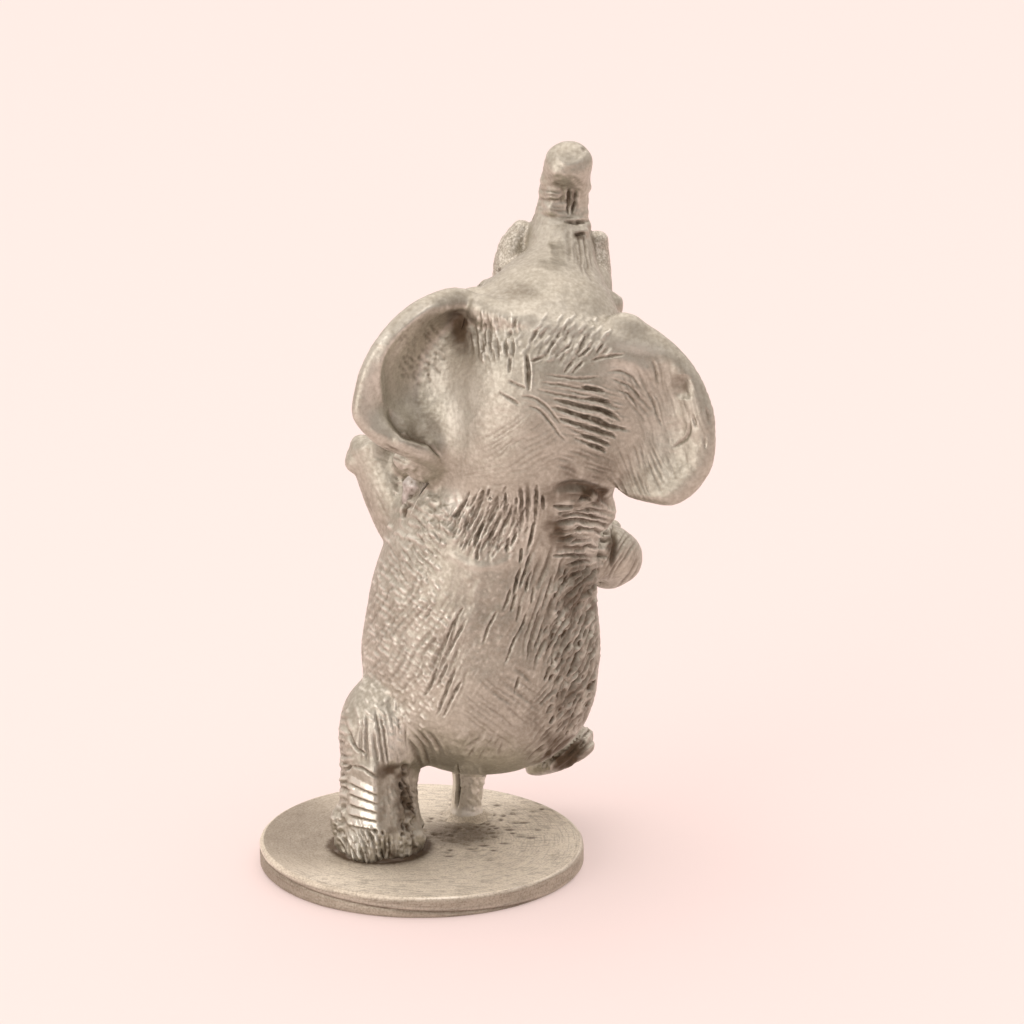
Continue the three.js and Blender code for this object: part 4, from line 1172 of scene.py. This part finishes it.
def pewter(name, tone, rough, grit=3400.0, speck=0.14, blotch=0.14, gloss=0.16, gritty=0.3, metallic=1.0):
    """Cast pewter: tone is the colour of its clouds, dark and light, and of its rubbed places and painted
    highlights.
    """
    m = Nodes(name)
    dark = m.attribute("tarnish")
    bright = m.attribute("polish")
    cloud = m.noise(330.0, 4.0)
    mottle = m.noise(1700.0, 2.0)
    grain = m.noise(grit, 3.0)
    layers = [
        (cloud, 0.32, 0.68, 1.0, tone[1]),
        # rubbed places and painted highlights take the light tone
        (bright, 0.0, 1.0, 0.85, tone[2]),
        (mottle, 0.5, 0.75, blotch, BLOTCH_BROWN),
        (mottle, 0.5, 0.25, blotch, tone[2]),
        (grain, 0.5, 0.78, speck, SPECK_BROWN),
        (grain, 0.5, 0.25, speck, tone[2]),
    ]
    body = tone[0]
    for field, low, high, amount, colour in layers:
        body = m.mix(m.span(field, low, high, 0.0, amount), body, colour)
    way = m.add("ShaderNodeAttribute", attribute_name="hatch").outputs["Vector"]
    way = m.add("ShaderNodeMapping", {"Vector": way, "Scale": (1.6, 2.1, 1.0)}).outputs["Vector"]
    lines = m.add("ShaderNodeTexNoise", {"Vector": way, "Scale": 1.0, "Detail": 2.0, "Roughness": 0.6})
    fine = m.attribute("hatched")
    scored = m.maths("MULTIPLY", m.span(lines.outputs["Fac"], 0.5, 0.68), fine)
    crests = m.maths("MULTIPLY", m.span(lines.outputs["Fac"], 0.46, 0.3), fine)
    body = m.mix(m.maths("MULTIPLY", scored, 0.32), body, SCORE_BROWN)
    body = m.mix(m.maths("MULTIPLY", crests, 0.3), body, tone[2])
    # patina and painted shade take the dark brown
    body = m.mix(m.span(dark, 0.0, 1.0, 0.0, 0.93), body, PATINA_AND_SHADE_BROWN)
    m.feed(m.shader.inputs["Base Color"], body)
    m.shader.inputs["Metallic"].default_value = metallic
    dull = m.span(dark, 0.0, 1.0, rough, TARNISHED_ROUGH)
    sheen = m.maths("ADD", dull, m.span(bright, 0.7, 1.0, 0.0, -gloss))
    sheen = m.maths("ADD", sheen, m.span(grain, 0.3, 0.7, -0.05, 0.06))
    m.feed(m.shader.inputs["Roughness"], sheen)
    height = m.maths("SUBTRACT", grain, scored)
    bump = m.add("ShaderNodeBump", {"Height": height, "Strength": gritty, "Distance": BUMP_HIGH})
    m.feed(m.shader.inputs["Normal"], bump.outputs["Normal"])
    return m.material


FIGURE_METAL = pewter(
    "figure_pewter",
    [(0.42, 0.4, 0.335, 1), (0.527, 0.505, 0.43, 1), (0.81, 0.8, 0.72, 1)],
    rough=0.5,
    speck=0.18,
    gritty=0.45,
)
TUSK_METAL = pewter(
    "tusk_pewter",
    [(0.42, 0.4, 0.335, 1), (0.56, 0.53, 0.45, 1), (0.9, 0.88, 0.8, 1)],
    rough=0.5,
    grit=7000.0,
    speck=0.6,
    gritty=0.9,
)
BASE_METAL = pewter(
    "base_pewter",
    [(0.69, 0.64, 0.54, 1), (0.82, 0.77, 0.66, 1), (0.97, 0.93, 0.83, 1)],
    rough=0.73,
    grit=6500.0,
    speck=0.4,
    blotch=0.1,
    gloss=0.42,
    gritty=0.8,
)
# a lighter, less metallic copy of the figure's pewter: painted light for the tail in the torso's shadow
TAIL_LIGHTENED_PEWTER = pewter(
    "tail_pewter_lightened",
    [(0.6, 0.575, 0.49, 1), (0.72, 0.69, 0.6, 1), (0.95, 0.92, 0.84, 1)],
    rough=0.6,
    speck=0.3,
    metallic=0.55,
)
METALS = {"tail": TAIL_LIGHTENED_PEWTER, "left_tusk": TUSK_METAL, "right_tusk": TUSK_METAL}
SOLDER_METAL = pewter(
    "solder_metal", [(0.4, 0.375, 0.34, 1), (0.52, 0.49, 0.45, 1), (0.7, 0.68, 0.65, 1)], rough=0.52
)


def add_piece(name, node, slot, metal, points, polygons, **fields):
    """Makes one piece from points in mm, with fields on its points, hangs it from the root and hides the
    solid of its node.
    """
    mesh = make_mesh(name, points * MM, polygons)
    mesh.shade_smooth()
    for field, values in fields.items():
        kind, entry = ("FLOAT_VECTOR", "vector") if np.ndim(values) > 1 else ("FLOAT", "value")
        data = mesh.attributes.new(field, kind, "POINT").data
        data.foreach_set(entry, np.asarray(values, np.float32).ravel())
    mesh.materials.append(metal)
    piece = add_object(name, mesh)
    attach(piece, "root")
    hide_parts(node)
    return mesh


# Splitting the skin into one closed piece for each casting


def close_loops(faces):
    """Loops of the open edges of a patch of quads, each in the order that closes the patch."""
    e = sides_of(faces)
    key = e[:, 0].astype(np.int64) * count + e[:, 1]
    twin = e[:, 1].astype(np.int64) * count + e[:, 0]
    after = {}
    for a, b in e[~np.isin(key, twin)].tolist():
        after.setdefault(b, []).append(a)
    loops = []
    while after:
        start = here = next(iter(after))
        loop = []
        while not loop or here != start:
            loop.append(here)
            there = after[here].pop()
            if not after[here]:
                del after[here]
            here = there
        loops.append(loop)
    return loops


CAP_INSET, CAP_TIP = 0.6, 0.3  # mm, how far a cut's rim is led inward, and its middle beyond that


def skin_piece(node, label):
    """One casting's part of the skin; its cuts are closed inside the neighbouring casting."""
    faces = skin_q[owner == label]
    used = np.unique(faces)
    index = np.full(count, -1)
    index[used] = np.arange(len(used))
    points, walls, caps = [sculpted[used]], [], []
    added = 0
    for ring in map(np.array, close_loops(faces)):
        here = index[ring]
        within = len(used) + added + np.arange(len(ring))
        inner = calm[ring] - CAP_INSET * calm_n[ring]
        walls.append(np.stack([here, np.roll(here, -1), np.roll(within, -1), within], 1))
        caps.append(np.stack([within, np.roll(within, -1), np.full(len(ring), within[-1] + 1)], 1))
        points += [inner, inner.mean(0, keepdims=True) - CAP_TIP * calm_n[ring].mean(0)]
        added += len(ring) + 1
    mesh = add_piece(
        node + "_skin",
        node,
        "figure_pewter",
        METALS.get(node, FIGURE_METAL),
        np.vstack(points),
        [index[faces], *walls, *caps],
        tarnish=np.concatenate([tarnish[used], np.ones(added)]),
        polish=np.concatenate([polish[used], np.zeros(added)]),
        hatch=np.vstack([hatch[used], np.zeros((added, 3))]),
        hatched=np.concatenate([hatched[used], np.zeros(added)]),
    )
    if walls:
        rim = np.concatenate([np.sort(wall[:, :2], axis=1) for wall in walls]).astype(np.int64)
        ends = np.zeros(len(mesh.edges) * 2, np.int32)
        mesh.edges.foreach_get("vertices", ends)
        ends = np.sort(ends.reshape(-1, 2), axis=1).astype(np.int64)
        sharp = np.isin(ends[:, 0] * count + ends[:, 1], rim[:, 0] * count + rim[:, 1])
        mesh.edges.foreach_set("use_edge_sharp", sharp)


for label, node in enumerate(NAMES):
    skin_piece(node, label)

# Base: a flat disc with a rounded lip and a mould line that runs askew round its rim

BASE_R, BASE_H, BASE_EDGE = 12.5, 1.7, 0.4
TURN = 720
TILT = 0.012  # rise of the top for each mm to the left
SEAM_Z, SEAM_TILT = 0.62, 0.0575  # mould line: height in the middle, rise for each mm to the left
FOOT_AT, FOOT_SHADE_R = LEFT_HIND_LEG[0][:2], 3.5
SHADED_X, LIP_X, SHEEN_X, SHEEN_Y = (262, 340), (330, 450), (350, 450), (858, 880)  # in the picture: where the rim's side is painted darker, and where the lip's highlight and the top's sheen are painted brighter
# darker patches on the top, behind the foot, beside it and towards the left: oval in the picture, and
# amount
DARK_PATCHES = [((456, 833, 62, 20), 0.9), ((330, 850, 70, 26), 0.5), ((296, 828, 104, 60), 0.7)]
DASHES, DASH_X, DASH_Y, DASH_SPREAD_X, DASH_SPREAD_Y = 150, 468, 829, 26, 11  # behind the foot


def ends_of(rows, columns):
    """The two polygons that close a lathed grid."""
    first = np.arange(columns)[None, ::-1]
    return first, (rows - 1) * columns + np.arange(columns)[None]


def base_disc():
    rim_turn = np.linspace(0, math.pi / 2, 8)
    profile = [(r, BASE_H) for r in np.linspace(0.05, BASE_R - BASE_EDGE, 100)[:-1]]
    profile += [
        (BASE_R - BASE_EDGE * (1 - math.sin(a)), BASE_H - BASE_EDGE * (1 - math.cos(a))) for a in rim_turn
    ]
    profile += [(BASE_R, z) for z in np.linspace(BASE_H - BASE_EDGE, 0.2, 16)[1:]]
    profile += [(BASE_R - 0.2, 0.0), (0.6 * BASE_R, 0.0), (0.05, 0.0)]
    r, z = np.array(profile).T
    a = full_turn(TURN)
    v = np.stack(
        [r[:, None] * np.cos(a), r[:, None] * np.sin(a), np.repeat(z[:, None], TURN, 1)], -1
    ).reshape(-1, 3)
    top = (v[:, 2] > BASE_H - 0.02) & (np.hypot(v[:, 0], v[:, 1]) < BASE_R - BASE_EDGE + 0.01)
    side = np.hypot(v[:, 0], v[:, 1]) > BASE_R - 0.3
    wave = noise(v, 2.6, 111) - 0.5
    v[:, 2] += TILT * v[:, 0] * ramp(v[:, 2], 0.3, 1.6)
    v[:, 2] += top * (0.05 * wave + 0.02 * (noise(v, 0.3, 112) - 0.5))
    seam = SEAM_Z + SEAM_TILT * v[:, 0] + 0.06 * (noise(v, 3.0, 113) - 0.5)
    gap = v[:, 2] - seam
    notch = side * np.exp(-((gap / 0.1) ** 2)) * ramp(v[:, 2], 0.0, 0.1)
    # painted highlight on a band just above the mould line
    seam_highlight = side * np.exp(-(((gap - 0.22) / 0.12) ** 2)) * ramp(v[:, 2], 0.0, 0.1)
    inset = side * (0.15 * notch + 0.04 * ramp(-gap, 0.0, 0.12) + 0.04 * noise(v, 0.9, 114))
    v[:, :2] *= (1 - inset / BASE_R)[:, None]
    x, y = picture_xy(v)
    # the rim's side below the lip painted darker, a painted shade, more so on the left
    rim_side_shade = 0.34 + 0.06 * noise(v * [1, 1, 3], 0.7, 115) + 0.2 * (1 - ramp(x, *SHADED_X))
    dark = np.maximum(0.75 * notch, side * rim_side_shade * ramp(BASE_H - v[:, 2], 0.1, 0.35))
    below = BASE_H + TILT * v[:, 0] - v[:, 2]
    # painted highlight along the lip, stronger to the right in the picture
    lip = np.exp(-(((below - 0.1) / 0.1) ** 2)) * (0.1 + 0.9 * ramp(x, *LIP_X))
    bright = np.maximum(lip * side * (0.75 + 0.35 * noise(v, 0.9, 123)), seam_highlight)
    # the top painted lighter towards the front and the right, a painted sheen
    front_right_sheen = np.maximum(ramp(x, *SHEEN_X), ramp(y, *SHEEN_Y))
    bright = np.maximum(bright, top * front_right_sheen * (0.5 + 0.22 * noise(v, 0.5, 118)))
    cloud = 0.6 * noise(v, 1.6, 116) + 0.4 * noise(v, 0.4, 119)
    dark = np.maximum(dark, top * 0.22 * ramp(noise(v * [1, 3, 1], 0.6, 122), 0.5, 0.85))
    for place, amount in DARK_PATCHES:
        dark = np.maximum(dark, top * amount * oval(x, y, place, 0.8) * (0.7 + 0.3 * cloud))
    # a dark seam close round the foot, and painted shade that spreads wider round it
    from_foot = np.maximum(np.hypot(*(v[:, :2] - FOOT_AT).T) - FOOT_SHADE_R, 0)
    grainy = noise(v, 0.2, 120)
    close, foot_halo_shade = np.exp(-((from_foot / 0.6) ** 2)), np.exp(-from_foot / 1.6)
    dark = np.maximum(dark, top * (0.95 * close + (0.2 + 0.5 * grainy) * foot_halo_shade))
    rng = np.random.default_rng(117)
    for _ in range(DASHES):
        cx, cy = DASH_X + DASH_SPREAD_X * rng.normal(), DASH_Y + DASH_SPREAD_Y * rng.normal()
        half, wide = 2.2 + 3.2 * rng.random(), 0.7 + 0.4 * rng.random()
        dash = np.exp(-(((x - cx) / half) ** 2) - (((y - cy) / wide) ** 2)) * top
        dark = np.maximum(dark, (0.2 + 0.65 * rng.random()) * np.minimum(1.0, 1.4 * dash))
        v[:, 2] -= 0.08 * dash
    bright = np.clip(bright * (1 - 0.8 * dark), 0, 1)
    out = np.hypot(v[:, 0], v[:, 1])
    marks = np.stack([2.6 * v[:, 0] / out, 2.6 * v[:, 1] / out, (out - v[:, 2]) / 0.16], -1)
    add_piece(
        "base_disc_cast",
        "base_disc",
        "base_pewter",
        BASE_METAL,
        v,
        [grid_faces(len(r), TURN), *ends_of(len(r), TURN)],
        tarnish=np.clip(dark, 0, 1),
        polish=bright,
        hatch=marks,
        # the brushed marks are also stronger where the sheen is painted
        hatched=0.3 + 0.4 * front_right_sheen,
    )


base_disc()

# Solder: a dark seam round the foot, a smooth apron under the tail and a drop at the shoulder


def apron(name, node, metal, centre, inner, reach, rise, seed, dark, bright, turns=128):
    """A low ring of solder with an uneven edge, closed underneath."""
    a = full_turn(turns)
    way = np.stack([np.cos(a), np.sin(a), 0 * a], -1)
    uneven = reach * (0.65 + 0.7 * noise(way * 2 + 5, 0.7, seed))
    rings = [(inner + uneven * t, 1.6 + rise * (1 - t) ** 2) for t in np.linspace(0, 1, 14)]
    rings += [(inner + uneven * 0.9, 1.5), (0.9 * inner + 0 * a, 1.5), (0.9 * inner + 0 * a, BASE_H)]
    v = np.vstack([np.array([*centre, z]) + r[:, None] * way for r, z in rings])
    v[:, 2] += 0.1 * rise * (noise(v, 0.4, seed + 1) - 0.5)
    faces = grid_faces(len(rings) + 1, turns) % len(v)
    spread = noise(v, 0.5, seed + 2)
    dark = np.clip(dark * (0.6 + 0.8 * spread), 0, 1)
    add_piece(name, node, "solder", metal, v, [faces], tarnish=dark, polish=bright * ramp(spread, 0.5, 0.8))


apron("foot_solder_seam", "foot_solder", SOLDER_METAL, FOOT_AT, 3.25, 0.9, 0.42, 121, 0.95, 0.3)
apron("tail_solder_apron", "tail_solder", BASE_METAL, TAIL[0][:2], 1.2, 0.8, 0.5, 125, 0.05, 0.6)

DROP_VOXEL = 0.14  # mm
DROP_LUMPS = [
    (415, 487, -1.0, 0.9, 0.8, 1.0), (409, 501, -1.0, 0.7, 0.7, 0.9), (421, 497, -0.9, 0.7, 0.7, 0.8),
    (408, 513, -1.1, 0.5, 0.5, 0.6),
]
DROP_CORE, DROP_RADII = [-0.3, -3.4, 29.2], np.array([1.6, 1.3, 1.9])


def shoulder_drop():
    v, q = fuse([*lumps(DROP_LUMPS), ball(DROP_CORE, DROP_RADII)], DROP_VOXEL)
    e = edges_of(q)
    v = smooth(v, e, 6, SETTLE)
    n = normals_of(v, q)
    v = v + n * (0.35 * (noise(v, 0.7, 131) - 0.5) + 0.12 * (noise(v, 0.3, 132) - 0.5))[:, None]
    low = hollow(v, e, normals_of(v, q))
    add_piece(
        "shoulder_solder_drop",
        "shoulder_solder",
        "solder",
        SOLDER_METAL,
        v,
        [q],
        tarnish=0.9 * ramp(low, 0.0, 0.02),
        polish=0.8 * ramp(-low, 0.0, 0.02),
    )


shoulder_drop()

# Stage: pale floor, soft light and the photograph's camera

FLOOR_HALF = 3  # m
PALE = (0.96, 0.815, 0.79, 1)
SKY_COLOUR = (1.0, 0.885, 0.83, 1)
SKY_UP = (0.12, -0.58, 0.8)  # where the sky is brightest
SKY_RANGE = {"From Min": -0.6, "From Max": 0.95, "To Min": 0.22, "To Max": 1.36}
LAMP_COLOUR = (1.0, 0.92, 0.87)
FILM = 36.0  # mm
floor_corners = FLOOR_HALF * np.array([[-1, -1, 0], [1, -1, 0], [1, 1, 0], [-1, 1, 0]], float)
floor_mesh = make_mesh("floor", floor_corners, [np.array([[0, 1, 2, 3]])])
floor = add_object("floor", floor_mesh)
pale = Nodes("pale_floor")
pale.shader.inputs["Base Color"].default_value = PALE
pale.shader.inputs["Roughness"].default_value = 0.9
pale.shader.inputs["Specular IOR Level"].default_value = 0.0
glow = pale.add("ShaderNodeEmission", {"Color": PALE, "Strength": 1.0})
path = pale.add("ShaderNodeLightPath")
shown = pale.maths("MAXIMUM", path.outputs["Is Camera Ray"], path.outputs["Is Glossy Ray"])
shown = pale.span(shown, 0.0, 1.0, 0.0, 0.3)
blend = pale.add("ShaderNodeMixShader", {"Fac": shown})
pale.feed(blend.inputs[1], pale.shader.outputs["BSDF"])
pale.feed(blend.inputs[2], glow.outputs["Emission"])
pale.feed(pale.tree.nodes["Material Output"].inputs["Surface"], blend.outputs["Shader"])
floor_mesh.materials.append(pale.material)

world = bpy.data.worlds.new("studio")
world.use_nodes = True
air = world.node_tree
sky = air.nodes["Background"]
sky.inputs["Color"].default_value = SKY_COLOUR
way = air.nodes.new("ShaderNodeTexCoord")
lean = air.nodes.new("ShaderNodeVectorMath")
lean.operation = "DOT_PRODUCT"
lean.inputs[1].default_value = SKY_UP
level = air.nodes.new("ShaderNodeMapRange")
for key, value in SKY_RANGE.items():
    level.inputs[key].default_value = value
air.links.new(way.outputs["Generated"], lean.inputs[0])
air.links.new(lean.outputs["Value"], level.inputs["Value"])
air.links.new(level.outputs["Result"], sky.inputs["Strength"])
bpy.context.scene.world = world


def softbox(name, at, aim, size, power):
    lamp = bpy.data.lights.new(name, "AREA")
    lamp.shape = "RECTANGLE"
    lamp.size, lamp.size_y = size
    lamp.energy = power
    lamp.color = LAMP_COLOUR
    lit = add_object(name, lamp)
    lit.location = at
    lit.rotation_euler = (Vector(aim) - Vector(at)).to_track_quat("-Z", "Y").to_euler()


softbox("key", (0.0, -0.2, 0.85), (0, 0, 0.03), (0.9, 0.9), 1.2)
softbox("edge", (0.42, 0.42, 0.16), (0, 0, 0.02), (0.4, 0.4), 1.2)

camera = bpy.data.cameras.new("camera")
camera.sensor_width = FILM
camera.lens = FOCAL / PICTURE * FILM
camera.clip_start, camera.clip_end = 0.01, 10.0
eye = add_object("camera", camera)
eye.location = CAMERA_AT * MM
eye.rotation_euler = Vector(LOOK).to_track_quat("-Z", "Y").to_euler()
bpy.context.scene.camera = eye
bpy.context.scene.view_settings.view_transform = "Standard"
